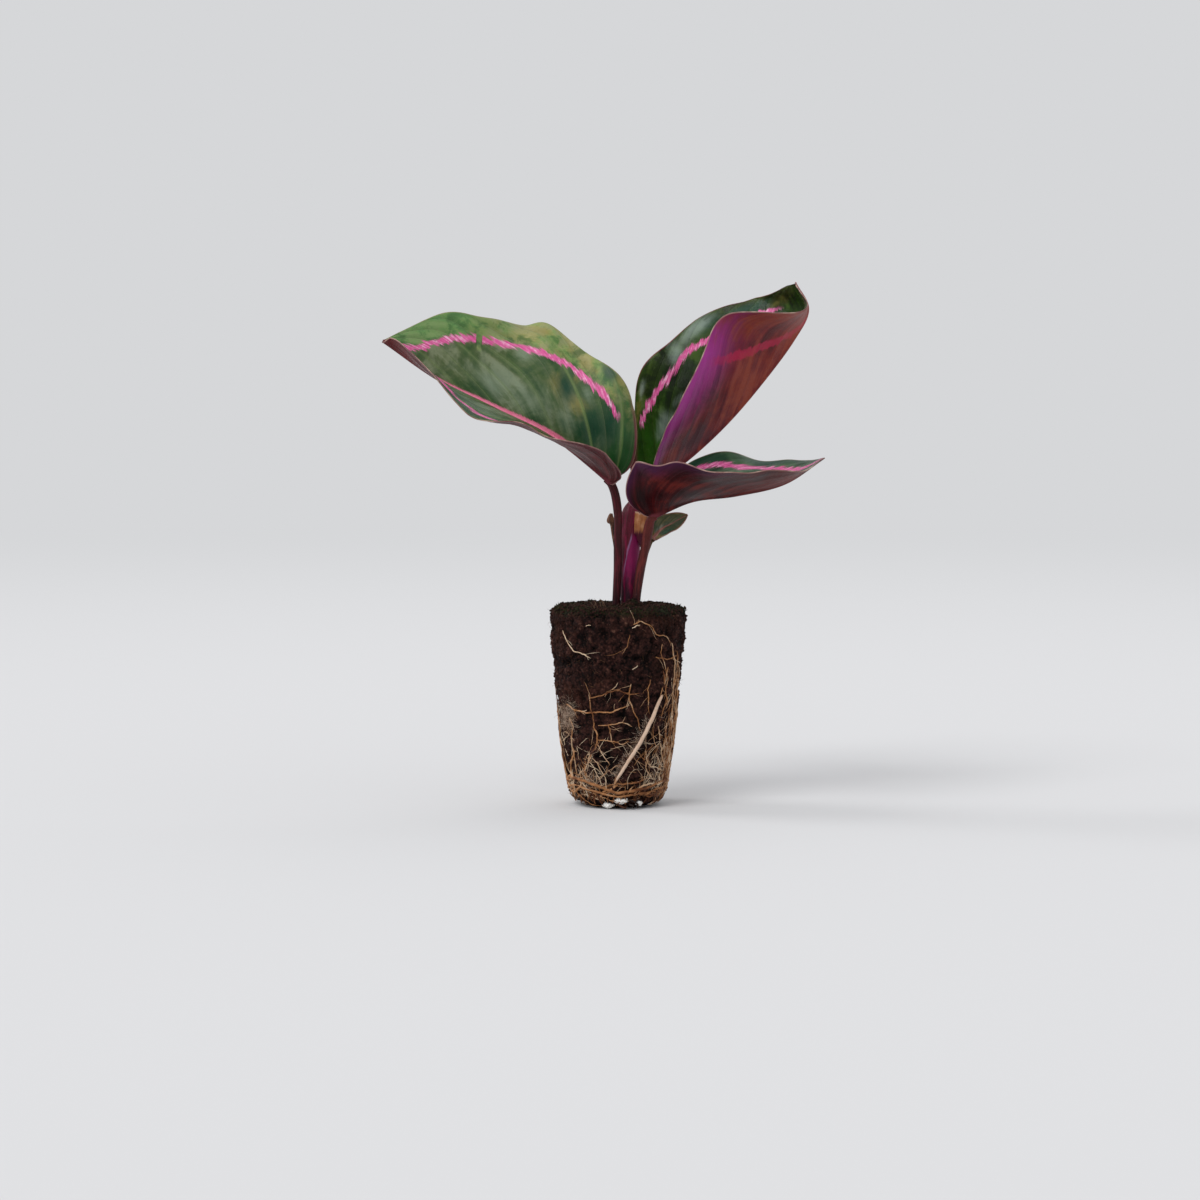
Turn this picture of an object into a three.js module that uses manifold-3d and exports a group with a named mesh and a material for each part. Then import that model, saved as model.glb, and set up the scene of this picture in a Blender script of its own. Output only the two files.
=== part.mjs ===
// A young rose-painted prayer plant, lifted bare out of its tray on its tapered plug of peat.
// Millimetres, +Z up. The origin is the middle of the plug's flat foot, and -Y is the front.
import * as THREE from 'three';
import { mergeVertices } from 'three/addons/utils/BufferGeometryUtils.js';
import Module from 'manifold-3d';

// The plug's outline, from its flat foot up to the rim and in over the top: radius and height.
const PLUG_OUTLINE = [
  [8.4, 0], [11.0, 0.7], [12.4, 2.2], [13.2, 4.4], [13.7, 7.0], [14.2, 9.8], [14.7, 12.6], [15.1, 15.4],
  [15.6, 18.4], [15.9, 21.4], [16.2, 24.4], [16.4, 27.4], [16.7, 30.4], [17.0, 33.4], [17.3, 36.4],
  [17.6, 39.4], [17.9, 42.4], [18.2, 45.4], [18.4, 48.2], [18.6, 50.8], [18.7, 53.0], [18.1, 54.6],
  [16.5, 55.4], [13.4, 55.5], [9.6, 55.4],
];
const PLUG_SIDES = 48;
const PLUG_ROUGHNESS = 0.3;
const TOP_CRUMBS = 0.55;
const RIM_CRUMBS = 0.8;
const SOIL_TOP = 55.5;

const BLADE_THICKNESS = 0.6;
const BLADE_BASE_HALF_WIDTH = 0.75;
const BLADE_TIP_HALF_WIDTH = 0.3;
const BLADE_SHARES = [0, 0.07, 0.2, 0.36, 0.52, 0.68, 0.84, 1];
const MIDRIB_DEPTH = 0.75;
const OUTLINE_SPREAD = 1.6;
const VEIN_SWEEP = 1.4;
const VEIN_BEND = 1.3;

const HOLE_CLEARANCE = 0.32;
const STEM_FOOT = 45.5;
const HOLE_FLOOR = 44.9;

const ROOT_LIFT = 0.95;
const ROOT_RADIUS = 0.42;
const ROOT_SIDES = 5;
const ROOT_STEP = 4.2;

const LEFT_LEAF = {
  rib: [[-1.9, -1, 89.8], [-17.9, -3, 102.4], [-34, -5, 110.7], [-49.7, -6, 118.4], [-64.3, -8, 128.6]],
  facing: [[0, -0.7, 0.7], [0.1, -0.7, 0.7], [0, -0.7, 0.7]],
  width: 27,
  base: 0.52,
  tip: 0.78,
  lobe: 0.114,
  rows: 25,
  halves: {
    right: {
      fold: [65, 45, 30, 23, 3], curl: [-29, -37, -33, 1, 29],
      wave: [0.92, 3.71, -0.17], ripple: [0.08, 2.7, -0.03], width: 1.1,
    },
    left: {
      fold: [79, 41, 29, 49, 85], curl: [-20, 20, 18, 12, 13],
      wave: [-2.06, 2.68, -1.24], ripple: [0, 3, 0], width: 0.81,
    },
  },
};

const RIGHT_LEAF = {
  rib: [[9.4, -5, 80.3], [20.4, -7, 84.9], [32.4, -9, 86.5], [45.5, -10, 89.7], [56.4, -10, 96.8]],
  facing: [[-0.2, 0, 1], [0, 0, 1], [0, 0, 1]],
  width: 17.5,
  base: 0.5,
  tip: 0.8,
  lobe: 0.168,
  rows: 25,
  halves: {
    right: {
      fold: [38, 12, 24, 11, 5], curl: [70, 10, 18, -14, -7],
      wave: [4.35, 2, 0.75], ripple: [0, 3, 0], width: 1.15,
    },
    left: {
      fold: [85, 60, 41, 26, 6], curl: [-3, -3, -3, -5, -5],
      wave: [1.33, 2.4, 0.27], ripple: [0, 3, 0], width: 0.96, base: 1.0, lobe: 0.05,
    },
  },
};

const UPRIGHT_LEAF = {
  rib: [
    [10.8, 10, 89.5], [20.8, 10, 96.7], [31.0, 10, 106.2], [40.4, 10, 117.1], [49.0, 10, 128.8],
    [53.1, 10, 137.5], [49.5, 10, 144.9],
  ],
  facing: [[-0.89, 0.1, 0.83], [-0.79, 0.05, 0.73], [-0.7, 0.05, 0.57], [-0.7, 0.05, 0.29], [-0.68, 0, -0.13]],
  width: 27,
  base: 0.57,
  tip: 0.62,
  lobe: 0,
  rows: 25,
  halves: {
    right: {
      fold: [23, 30, 33, 33, 9, 5], curl: [-16, -4, 2, 16, -11, -18],
      wave: [0.54, 3.37, -0.1], ripple: [-0.02, 3, 0], width: 1.08,
    },
    left: {
      fold: [84, 80, 73, 61, 50, 42], curl: [1, 4, -1, -7, -6, 3],
      wave: [-1.84, 2.19, -0.01], ripple: [-0.05, 3, 0], width: 1.12,
    },
  },
};

const SMALL_LEAF = {
  rib: [[9.9, 4.9, 73.4], [12.3, 5.6, 76.3], [15.4, 6.2, 78.0], [19.5, 6.6, 80.4]],
  facing: [[-0.5, -0.5, 0.7], [-0.3, -0.6, 0.75], [-0.1, -0.7, 0.7]],
  width: 3.8,
  base: 0.5,
  tip: 0.7,
  lobe: 0,
  rows: 14,
  halves: {
    right: { fold: [8, 0, 0], curl: [10, 10, 10], wave: [0.2, 2, 0.2], ripple: [0, 3, 0], width: 0.95 },
    left: { fold: [35, 35, 35], curl: [10, 5, 0], wave: [0.25, 2, 0.5], ripple: [0, 3, 0], width: 1.0 },
  },
};

// Each stem: the points of its middle from the foot in the soil to the leaf that it carries, and its radii.
const STALK = {
  points: [
    [2.7, 0.8, STEM_FOOT], [2.9, 0.9, 56], [3.2, 1.2, 64], [3.5, 1.5, 72.5], [3.9, 2.0, 78.5], [4.6, 3.0, 82],
    [6.2, 5.8, 85], [9.95, 9.7, 89.0],
  ],
  radii: [2.0, 2.1, 2.45, 2.65, 2.65, 2.2, 1.6, 0.95],
};
const PETIOLE_LEFT = {
  points: [
    [-0.6, -0.7, STEM_FOOT], [-0.4, -0.9, 56], [0.0, -1.5, 66], [0.0, -1.9, 74], [0.1, -1.8, 80],
    [-0.5, -1.2, 85.4], [-1.65, -0.5, 88.95],
  ],
  radii: [1.1, 1.12, 1.12, 1.1, 1.1, 1.15, 1.0],
};
const PETIOLE_RIGHT = {
  points: [[4.9, -2.0, STEM_FOOT], [5.1, -2.1, 56], [6.2, -2.6, 65], [7.7, -3.5, 72.5], [8.65, -4.5, 77.9], [9.1, -4.9, 79.3]],
  radii: [1.1, 1.12, 1.2, 1.25, 1.25, 0.85],
};
const PETIOLE_SMALL = {
  points: [[5.3, 3.3, STEM_FOOT], [5.6, 3.5, 56], [6.9, 4.6, 66], [9.0, 5.0, 72.4], [9.7, 4.92, 73.15]],
  radii: [0.6, 0.62, 0.65, 0.6, 0.5],
};
const OLD_STUB = {
  points: [[0.0, 3.3, STEM_FOOT], [0.0, 3.4, 56], [-0.3, 3.5, 68], [-1.2, 3.7, 77], [-1.9, 3.8, 79.2], [-1.7, 3.9, 80.9]],
  radii: [0.55, 0.55, 0.55, 0.7, 0.95, 0.35],
};

const PAPERY_SHEATH = {
  from: -98,
  to: -28,
  low: 74.9,
  high: 80.7,
  slant: 3.6,
  clearance: 0.35,
  thickness: 0.6,
};

// The white grains at the foot of the plug: middle, radii, and the seed of their lumps.
const GRAINS = [
  { name: 'perlite_a', middle: [0.9, -12.0, 2.6], radii: [2.0, 1.1, 1.0], seed: 5 },
  { name: 'perlite_b', middle: [-2.6, -10.9, 1.15], radii: [1.6, 1.1, 0.85], seed: 8 },
  { name: 'perlite_c', middle: [5.8, -10.4, 1.7], radii: [1.0, 0.9, 0.8], seed: 12 },
];
const GRAIN_CLEARANCE = 0.3;

// The thick young root lies down the front of the plug, from upper right to lower left: x and height.
const MAIN_ROOT = {
  line: [[11.9, 31.9], [11.0, 28.6], [9.7, 24.4], [7.9, 20.8], [5.6, 16.8], [3.1, 13.0], [1.0, 9.9], [-0.6, 7.4]],
  radii: [0.55, 0.72, 0.78, 0.8, 0.8, 0.78, 0.7, 0.45],
  lift: 1.25,
};

// The roots of the net at the front, as x and height, with a radius that is a share of ROOT_RADIUS.
const FRONT_ROOTS = [
  { line: [[-8.6, 8.4], [-9.4, 11.2], [-7.8, 14.6], [-5.8, 18.4], [-5.9, 22.4], [-7.2, 26.4], [-7.7, 32.2]], share: 0.9 },
  { line: [[-7.6, 31.2], [-4.0, 31.8], [-0.4, 33.0], [3.4, 32.2], [7.2, 32.6]], share: 0.8 },
  { line: [[-12.2, 27.6], [-9.4, 27.4], [-6.0, 27.2], [-2.6, 27.4], [0.2, 28.3], [3.2, 29.4]], share: 0.9 },
  { line: [[3.6, 35.2], [3.4, 32.2], [3.7, 29.4], [5.0, 25.4]], share: 0.8 },
  { line: [[8.9, 36.2], [8.5, 32.6], [8.2, 29.2]], share: 0.75 },
  { line: [[-5.4, 23.6], [-1.2, 23.9], [2.2, 24.0], [3.9, 23.4]], share: 0.75 },
  { line: [[-5.8, 19.6], [-1.8, 19.4], [1.4, 18.4], [3.0, 19.4]], share: 0.8 },
  { line: [[-2.7, 24.0], [-1.9, 20.4], [-0.9, 18.6]], share: 0.7 },
  { line: [[-5.8, 18.6], [-3.8, 15.4], [-2.2, 12.6]], share: 0.75 },
  { line: [[-10.8, 8.9], [-8.4, 12.4], [-6.9, 16.2]], share: 0.75 },
  { line: [[-4.6, 6.4], [-5.2, 9.4], [-7.4, 12.6], [-9.6, 14.2]], share: 0.7 },
  { line: [[-3.0, 5.6], [-3.6, 9.0], [-5.6, 12.4], [-8.0, 14.8]], share: 0.7 },
  { line: [[14.8, 46.0], [15.6, 40.0], [15.3, 32.0], [14.7, 24.0], [13.8, 15.0], [12.2, 6.6]], share: 1.15 },
  { line: [[16.4, 43.5], [16.6, 36.0], [16.0, 27.0], [15.0, 18.0], [13.4, 9.0], [12.4, 6.4]], share: 1.0 },
  { line: [[10.4, 42.4], [12.8, 41.2], [15.4, 42.4], [16.5, 42.6]], share: 0.85 },
  { line: [[11.1, 23.2], [11.6, 20.4], [12.0, 15.4], [12.6, 10.9], [12.2, 7.2]], share: 0.85 },
  { line: [[7.7, 16.4], [8.4, 13.1], [10.6, 11.0], [12.4, 10.4]], share: 0.85 },
  { line: [[11.9, 15.8], [13.6, 19.2], [14.4, 20.4]], share: 0.8 },
  { line: [[7.6, 13.4], [8.2, 10.4], [10.0, 7.9]], share: 0.75 },
  { line: [[5.4, 5.9], [8.0, 7.0], [11.2, 6.6], [12.9, 7.4]], share: 1.0 },
];
// The two roots that circle the foot: their heights from the front round by the right, 30 degrees apart.
const RINGS = [
  { heights: [4.7, 5.7, 7.2, 6.8, 5.6, 6.2, 7.0, 5.4, 6.0, 6.6, 8.6, 7.0], share: 1.3 },
  { heights: [3.7, 4.4, 5.3, 5.0, 7.0, 5.0, 4.6, 6.9, 4.8, 5.2, 5.9, 5.0], share: 0.9 },
];
const BACK_ROOTS = 11;
const BACK_LINKS = 7;

const COLOURS = {
  peat: [0x2b1c15, 1.0],
  root: [0xb98a58, 0.75],
  youngRoot: [0xe6cda2, 0.6],
  perlite: [0xf2f0e8, 0.9],
  stem: [0x4a1a2a, 0.45],
  stalk: [0x5c1f45, 0.42],
  dry: [0xa87650, 0.85],
  leaf: [0x3e5a36, 0.38],
  youngLeaf: [0x5c1f3c, 0.36],
  maroonLeaf: [0x4f2127, 0.4],
  smallLeaf: [0x3c4a28, 0.45],
};

const wasm = await Module();
wasm.setup();

// A repeatable draw between 0 and 1.
function drawFrom(seed) {
  let state = seed * 2654435761 % 4294967296;
  return () => {
    state = (state * 1664525 + 1013904223) % 4294967296;
    return state / 4294967296;
  };
}

function vector(point) {
  return new THREE.Vector3(point[0], point[1], point[2]);
}

// A smooth value through evenly spaced ones, at u from 0 to 1.
function smoothly(values, u) {
  const last = values.length - 1;
  const place = Math.min(Math.max(u, 0), 1) * last;
  const i = Math.min(Math.floor(place), last - 1);
  const t = place - i;
  const before = i > 0 ? values[i - 1] : 2 * values[0] - values[1];
  const after = i < last - 1 ? values[i + 2] : 2 * values[last] - values[last - 1];
  const slope = (values[i + 1] - before) / 2;
  const nextSlope = (after - values[i]) / 2;
  const square = t * t;
  const cube = square * t;
  return (2 * cube - 3 * square + 1) * values[i] + (cube - 2 * square + t) * slope
    + (3 * square - 2 * cube) * values[i + 1] + (cube - square) * nextSlope;
}

function smoothPoint(points, u) {
  return new THREE.Vector3(
    smoothly(points.map((p) => p[0]), u),
    smoothly(points.map((p) => p[1]), u),
    smoothly(points.map((p) => p[2]), u),
  );
}

function closedMesh(positions, faces) {
  const geometry = new THREE.BufferGeometry();
  geometry.setAttribute('position', new THREE.Float32BufferAttribute(positions, 3));
  geometry.setIndex(faces);
  geometry.computeVertexNormals();
  return geometry;
}

function toSolid(geometry) {
  const plain = geometry.clone();
  plain.deleteAttribute('normal');
  plain.deleteAttribute('uv');
  const merged = mergeVertices(plain, 1e-4);
  return new wasm.Manifold(new wasm.Mesh({
    numProp: 3,
    vertProperties: new Float32Array(merged.attributes.position.array),
    triVerts: new Uint32Array(merged.index.array),
  }));
}

function fromSolid(solid) {
  const mesh = solid.getMesh();
  const positions = [];
  for (let i = 0; i < mesh.numVert; i += 1) {
    positions.push(mesh.vertProperties[i * mesh.numProp]);
    positions.push(mesh.vertProperties[i * mesh.numProp + 1]);
    positions.push(mesh.vertProperties[i * mesh.numProp + 2]);
  }
  return closedMesh(positions, Array.from(mesh.triVerts));
}

// A closed tube of rings along a curve. shape gives the ring's radius by angle and by share of the way.
function tube(points, radii, sides, steps, shape = () => 1) {
  const curve = new THREE.CatmullRomCurve3(points.map(vector), false, 'catmullrom', 0.5);
  const frames = curve.computeFrenetFrames(steps, false);
  const positions = [];
  const faces = [];
  for (let i = 0; i <= steps; i += 1) {
    const u = i / steps;
    const middle = curve.getPointAt(u);
    const radius = smoothly(radii, curve.getUtoTmapping(u));
    for (let k = 0; k < sides; k += 1) {
      const angle = 2 * Math.PI * k / sides;
      const reach = radius * shape(angle, u);
      const point = middle.clone();
      point.addScaledVector(frames.normals[i], reach * Math.cos(angle));
      point.addScaledVector(frames.binormals[i], reach * Math.sin(angle));
      positions.push(point.x, point.y, point.z);
    }
  }
  const start = curve.getPointAt(0);
  const end = curve.getPointAt(1);
  const startIndex = positions.length / 3;
  positions.push(start.x, start.y, start.z, end.x, end.y, end.z);
  for (let i = 0; i < steps; i += 1) {
    for (let k = 0; k < sides; k += 1) {
      const a = i * sides + k;
      const b = i * sides + (k + 1) % sides;
      faces.push(a, b, b + sides, a, b + sides, a + sides);
    }
  }
  const lastRing = steps * sides;
  for (let k = 0; k < sides; k += 1) {
    const next = (k + 1) % sides;
    faces.push(startIndex, next, k);
    faces.push(startIndex + 1, lastRing + k, lastRing + next);
  }
  return closedMesh(positions, faces);
}

// The share of the rib and the half width, in millimetres, of one point on the leaf's margin.
function margin(leaf, half, way) {
  const share = way ** OUTLINE_SPREAD;
  const base = half.base ?? leaf.base;
  const peak = base / (base + leaf.tip);
  const top = peak ** base * (1 - peak) ** leaf.tip;
  const outline = share ** base * (1 - share) ** leaf.tip / top;
  const [depth, count, phase] = half.ripple;
  const rippled = outline * (1 + depth * Math.sin(2 * Math.PI * (count * share + phase)));
  const behind = (half.lobe ?? leaf.lobe) * 4 * way * (1 - way) ** 3 / 0.42;
  const least = BLADE_BASE_HALF_WIDTH + (BLADE_TIP_HALF_WIDTH - BLADE_BASE_HALF_WIDTH) * share;
  return [share - behind, Math.max(rippled * leaf.width * half.width, least)];
}

// The middle surface of a blade: along is the share of the rib, across the millimetres out from it.
function bladePoint(leaf, half, side, along, across, opened) {
  const inside = Math.min(Math.max(along, 0), 1);
  const low = Math.max(inside - 0.0005, 0);
  const high = Math.min(inside + 0.0005, 1);
  const tangent = smoothPoint(leaf.rib, high).sub(smoothPoint(leaf.rib, low)).divideScalar(high - low);
  const point = smoothPoint(leaf.rib, inside).addScaledVector(tangent, along - inside);
  const forward = tangent.clone().normalize();
  const up = smoothPoint(leaf.facing, inside).normalize();
  const outward = new THREE.Vector3().crossVectors(forward, up).normalize().multiplyScalar(side);
  const fold = THREE.MathUtils.degToRad(smoothly(half.fold, inside)) * opened;
  let curl = THREE.MathUtils.degToRad(smoothly(half.curl, inside)) / leaf.width;
  if (Math.abs(curl) < 1e-5) {
    curl = 1e-5;
  }
  const turned = fold + curl * across;
  point.addScaledVector(outward, (Math.sin(turned) - Math.sin(fold)) / curl);
  point.addScaledVector(up, (Math.cos(fold) - Math.cos(turned)) / curl);
  const [height, count, phase] = half.wave;
  const edge = Math.min(across / leaf.width, 1.2) ** 2;
  const wave = height * edge * Math.sin(2 * Math.PI * (count * inside + phase));
  point.addScaledVector(outward, -wave * Math.sin(turned));
  point.addScaledVector(up, wave * Math.cos(turned));
  return point;
}

// A blade of even thickness, with its midrib standing out of the back, as one closed body.
function blade(leaf) {
  const reach = BLADE_SHARES.length - 1;
  const across = 2 * reach + 1;
  const middle = [];
  for (let i = 0; i <= leaf.rows; i += 1) {
    const way = i / leaf.rows;
    const ribShare = way ** (OUTLINE_SPREAD * VEIN_SWEEP);
    const row = [];
    for (let j = -reach; j <= reach; j += 1) {
      const side = j < 0 ? -1 : 1;
      const half = side < 0 ? leaf.halves.left : leaf.halves.right;
      const [edgeShare, width] = margin(leaf, half, way);
      const v = BLADE_SHARES[Math.abs(j)];
      const along = ribShare + (edgeShare - ribShare) * v ** VEIN_BEND;
      const opened = Math.min(width / 4, 1) ** 0.7;
      row.push(bladePoint(leaf, half, side, along, width * v, opened));
    }
    middle.push(row);
  }
  const upper = [];
  const lower = [];
  for (let i = 0; i <= leaf.rows; i += 1) {
    const before = middle[Math.max(i - 1, 0)];
    const after = middle[Math.min(i + 1, leaf.rows)];
    const way = i / leaf.rows;
    for (let j = 0; j < across; j += 1) {
      const lengthwise = after[j].clone().sub(before[j]);
      const leftward = middle[i][Math.min(j + 1, across - 1)].clone().sub(middle[i][Math.max(j - 1, 0)]);
      const normal = new THREE.Vector3().crossVectors(lengthwise, leftward).normalize();
      let mitre = 1;
      if (j === reach) {
        const oneSide = middle[i][j + 1].clone().sub(middle[i][j]);
        const sideNormal = new THREE.Vector3().crossVectors(lengthwise, oneSide).normalize();
        mitre = 1 / Math.max(normal.dot(sideNormal), 0.62);
      }
      const half = BLADE_THICKNESS / 2 * mitre;
      const ridge = j === reach ? MIDRIB_DEPTH * (1 - 0.75 * way) : 0;
      upper.push(middle[i][j].clone().addScaledVector(normal, -half));
      lower.push(middle[i][j].clone().addScaledVector(normal, half + ridge));
    }
  }
  const positions = [];
  for (const point of [...upper, ...lower]) {
    positions.push(point.x, point.y, point.z);
  }
  const faces = [];
  const offset = upper.length;
  const quad = (a, b, c, d) => faces.push(a, b, c, a, c, d);
  for (let i = 0; i < leaf.rows; i += 1) {
    for (let j = 0; j < across - 1; j += 1) {
      const a = i * across + j;
      const b = a + 1;
      const c = b + across;
      const d = a + across;
      if (j < reach) {
        faces.push(a, b, d, b, c, d);
        faces.push(offset + a, offset + d, offset + b, offset + b, offset + d, offset + c);
      } else {
        faces.push(a, b, c, a, c, d);
        faces.push(offset + a, offset + c, offset + b, offset + a, offset + d, offset + c);
      }
    }
    const left = i * across;
    const right = left + across - 1;
    quad(left, left + across, offset + left + across, offset + left);
    quad(right, offset + right, offset + right + across, right + across);
  }
  for (let j = 0; j < across - 1; j += 1) {
    const end = leaf.rows * across + j;
    quad(j, offset + j, offset + j + 1, j + 1);
    quad(end, end + 1, offset + end + 1, offset + end);
  }
  return closedMesh(positions, faces);
}

// Turns a closed mesh's faces round where they point inwards.
function facingOut(geometry) {
  const position = geometry.attributes.position;
  const index = geometry.index.array;
  let volume = 0;
  for (let i = 0; i < index.length; i += 3) {
    const a = new THREE.Vector3().fromBufferAttribute(position, index[i]);
    const b = new THREE.Vector3().fromBufferAttribute(position, index[i + 1]);
    const c = new THREE.Vector3().fromBufferAttribute(position, index[i + 2]);
    volume += a.dot(b.cross(c));
  }
  if (volume > 0) {
    return geometry;
  }
  const turned = Array.from(index);
  for (let i = 0; i < turned.length; i += 3) {
    [turned[i], turned[i + 1]] = [turned[i + 1], turned[i]];
  }
  geometry.setIndex(turned);
  geometry.computeVertexNormals();
  return geometry;
}

function plugRadius(height) {
  for (let i = 1; i < PLUG_OUTLINE.length; i += 1) {
    const [r0, z0] = PLUG_OUTLINE[i - 1];
    const [r1, z1] = PLUG_OUTLINE[i];
    if (height <= z1) {
      return r0 + (r1 - r0) * (height - z0) / (z1 - z0);
    }
  }
  return PLUG_OUTLINE[PLUG_OUTLINE.length - 1][0];
}

// The lumpy block of peat: rings of the outline, each point pushed in or out by a seeded draw.
function peatBlock() {
  const draw = drawFrom(41);
  const rings = PLUG_OUTLINE.length;
  const positions = [];
  const faces = [];
  for (let i = 0; i < rings; i += 1) {
    const [radius, height] = PLUG_OUTLINE[i];
    for (let k = 0; k < PLUG_SIDES; k += 1) {
      const angle = 2 * Math.PI * k / PLUG_SIDES;
      const lump = Math.sin(3 * angle + 0.22 * height) * 0.1 + Math.sin(7 * angle - 0.35 * height) * 0.08;
      let out = lump + (draw() - 0.6) * PLUG_ROUGHNESS;
      let rise = 0;
      if (height > 0 && height < 4) {
        out = (draw() - 0.75) * 1.0;
        rise = draw() * 0.6 - (Math.cos(angle - 2.6) < 0 ? 0 : -0.5);
      }
      if (radius < 17.7 && height > 54) {
        rise = (draw() - 0.4) * TOP_CRUMBS;
      }
      if (radius < 17 && radius > 16 && height > 54) {
        rise = (draw() - 0.45) * RIM_CRUMBS;
      }
      if (radius < 10 && height > 54) {
        rise = 0;
      }
      if (height === 0) {
        out = (draw() - 0.5) * 1.2;
      }
      positions.push((radius + out) * Math.cos(angle), (radius + out) * Math.sin(angle), height + rise);
    }
  }
  const foot = positions.length / 3;
  positions.push(0, 0, 0, 0, 0, SOIL_TOP - 0.1);
  for (let i = 0; i < rings - 1; i += 1) {
    for (let k = 0; k < PLUG_SIDES; k += 1) {
      const a = i * PLUG_SIDES + k;
      const b = i * PLUG_SIDES + (k + 1) % PLUG_SIDES;
      faces.push(a, b, b + PLUG_SIDES, a, b + PLUG_SIDES, a + PLUG_SIDES);
    }
  }
  const lastRing = (rings - 1) * PLUG_SIDES;
  for (let k = 0; k < PLUG_SIDES; k += 1) {
    const next = (k + 1) % PLUG_SIDES;
    faces.push(foot, next, k);
    faces.push(foot + 1, lastRing + k, lastRing + next);
  }
  return closedMesh(positions, faces);
}

// The plain hole that a stem stands in: a little wider than the stem, and a little deeper.
function stemHole(stem) {
  const foot = stem.points[0];
  const mouth = stem.points[1];
  const radius = Math.max(stem.radii[0], stem.radii[1]) + HOLE_CLEARANCE;
  const rise = mouth[2] - foot[2];
  const at = (height) => [
    foot[0] + (mouth[0] - foot[0]) * (height - foot[2]) / rise,
    foot[1] + (mouth[1] - foot[1]) * (height - foot[2]) / rise,
    height,
  ];
  return tube([at(HOLE_FLOOR), at(50), at(SOIL_TOP + 2)], [radius, radius, radius + 0.25], 12, 2);
}

// A white grain: a lumpy ball, by a seeded draw.
function grain(spec, extra) {
  const geometry = mergeVertices(stripped(new THREE.IcosahedronGeometry(1, 1)), 1e-4);
  const draw = drawFrom(spec.seed);
  const position = geometry.attributes.position;
  for (let i = 0; i < position.count; i += 1) {
    const point = new THREE.Vector3().fromBufferAttribute(position, i);
    point.multiplyScalar(0.86 + 0.26 * draw());
    position.setXYZ(
      i,
      spec.middle[0] + point.x * (spec.radii[0] + extra),
      spec.middle[1] + point.y * (spec.radii[1] + extra),
      Math.max(spec.middle[2] + point.z * (spec.radii[2] + extra), 0.12 - extra),
    );
  }
  geometry.computeVertexNormals();
  return geometry;
}

function stripped(geometry) {
  geometry.deleteAttribute('normal');
  geometry.deleteAttribute('uv');
  return geometry;
}

function soilPlug(stems) {
  let soil = toSolid(peatBlock());
  for (const stem of stems) {
    soil = soil.subtract(toSolid(stemHole(stem)));
  }
  for (const spec of GRAINS) {
    soil = soil.subtract(toSolid(grain(spec, GRAIN_CLEARANCE)));
  }
  return fromSolid(soil);
}

// A point that lies on the front of the plug, lifted off the peat, at that x and height.
function onFront(x, height, lift) {
  const radius = plugRadius(height) + lift;
  const angle = Math.asin(Math.max(-0.999, Math.min(0.999, x / radius)));
  return [radius * Math.sin(angle), -radius * Math.cos(angle), height];
}

function onPlug(angle, height, lift) {
  const radius = plugRadius(height) + lift;
  return [radius * Math.sin(angle), -radius * Math.cos(angle), height];
}

function rootTube(points, radius, closed = false) {
  let length = 0;
  for (let i = 1; i < points.length; i += 1) {
    length += vector(points[i]).distanceTo(vector(points[i - 1]));
  }
  const steps = Math.max(2, Math.round(length / ROOT_STEP));
  const radii = closed ? [radius, radius] : [radius * 0.7, radius, radius, radius * 0.6];
  return tube(points, radii, ROOT_SIDES, steps);
}

// A root that circles the plug once and meets itself.
function ringRoot(ring) {
  const turns = 38;
  const positions = [];
  const faces = [];
  const radius = ROOT_RADIUS * ring.share;
  const path = new THREE.CatmullRomCurve3(ring.heights.map((height, i) => (
    vector(onPlug(2 * Math.PI * i / ring.heights.length, height, ROOT_LIFT))
  )), true, 'catmullrom', 0.5);
  for (let i = 0; i < turns; i += 1) {
    const angle = 2 * Math.PI * i / turns;
    const middle = vector(onPlug(angle, path.getPoint(i / turns).z, ROOT_LIFT));
    const outward = new THREE.Vector3(Math.sin(angle), -Math.cos(angle), 0);
    for (let k = 0; k < ROOT_SIDES; k += 1) {
      const turn = 2 * Math.PI * k / ROOT_SIDES;
      const point = middle.clone().addScaledVector(outward, radius * Math.cos(turn));
      positions.push(point.x, point.y, point.z + radius * Math.sin(turn));
    }
  }
  for (let i = 0; i < turns; i += 1) {
    for (let k = 0; k < ROOT_SIDES; k += 1) {
      const a = i * ROOT_SIDES + k;
      const b = i * ROOT_SIDES + (k + 1) % ROOT_SIDES;
      const c = ((i + 1) % turns) * ROOT_SIDES + (k + 1) % ROOT_SIDES;
      const d = ((i + 1) % turns) * ROOT_SIDES + k;
      faces.push(a, b, c, a, c, d);
    }
  }
  return facingOut(closedMesh(positions, faces));
}

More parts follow.
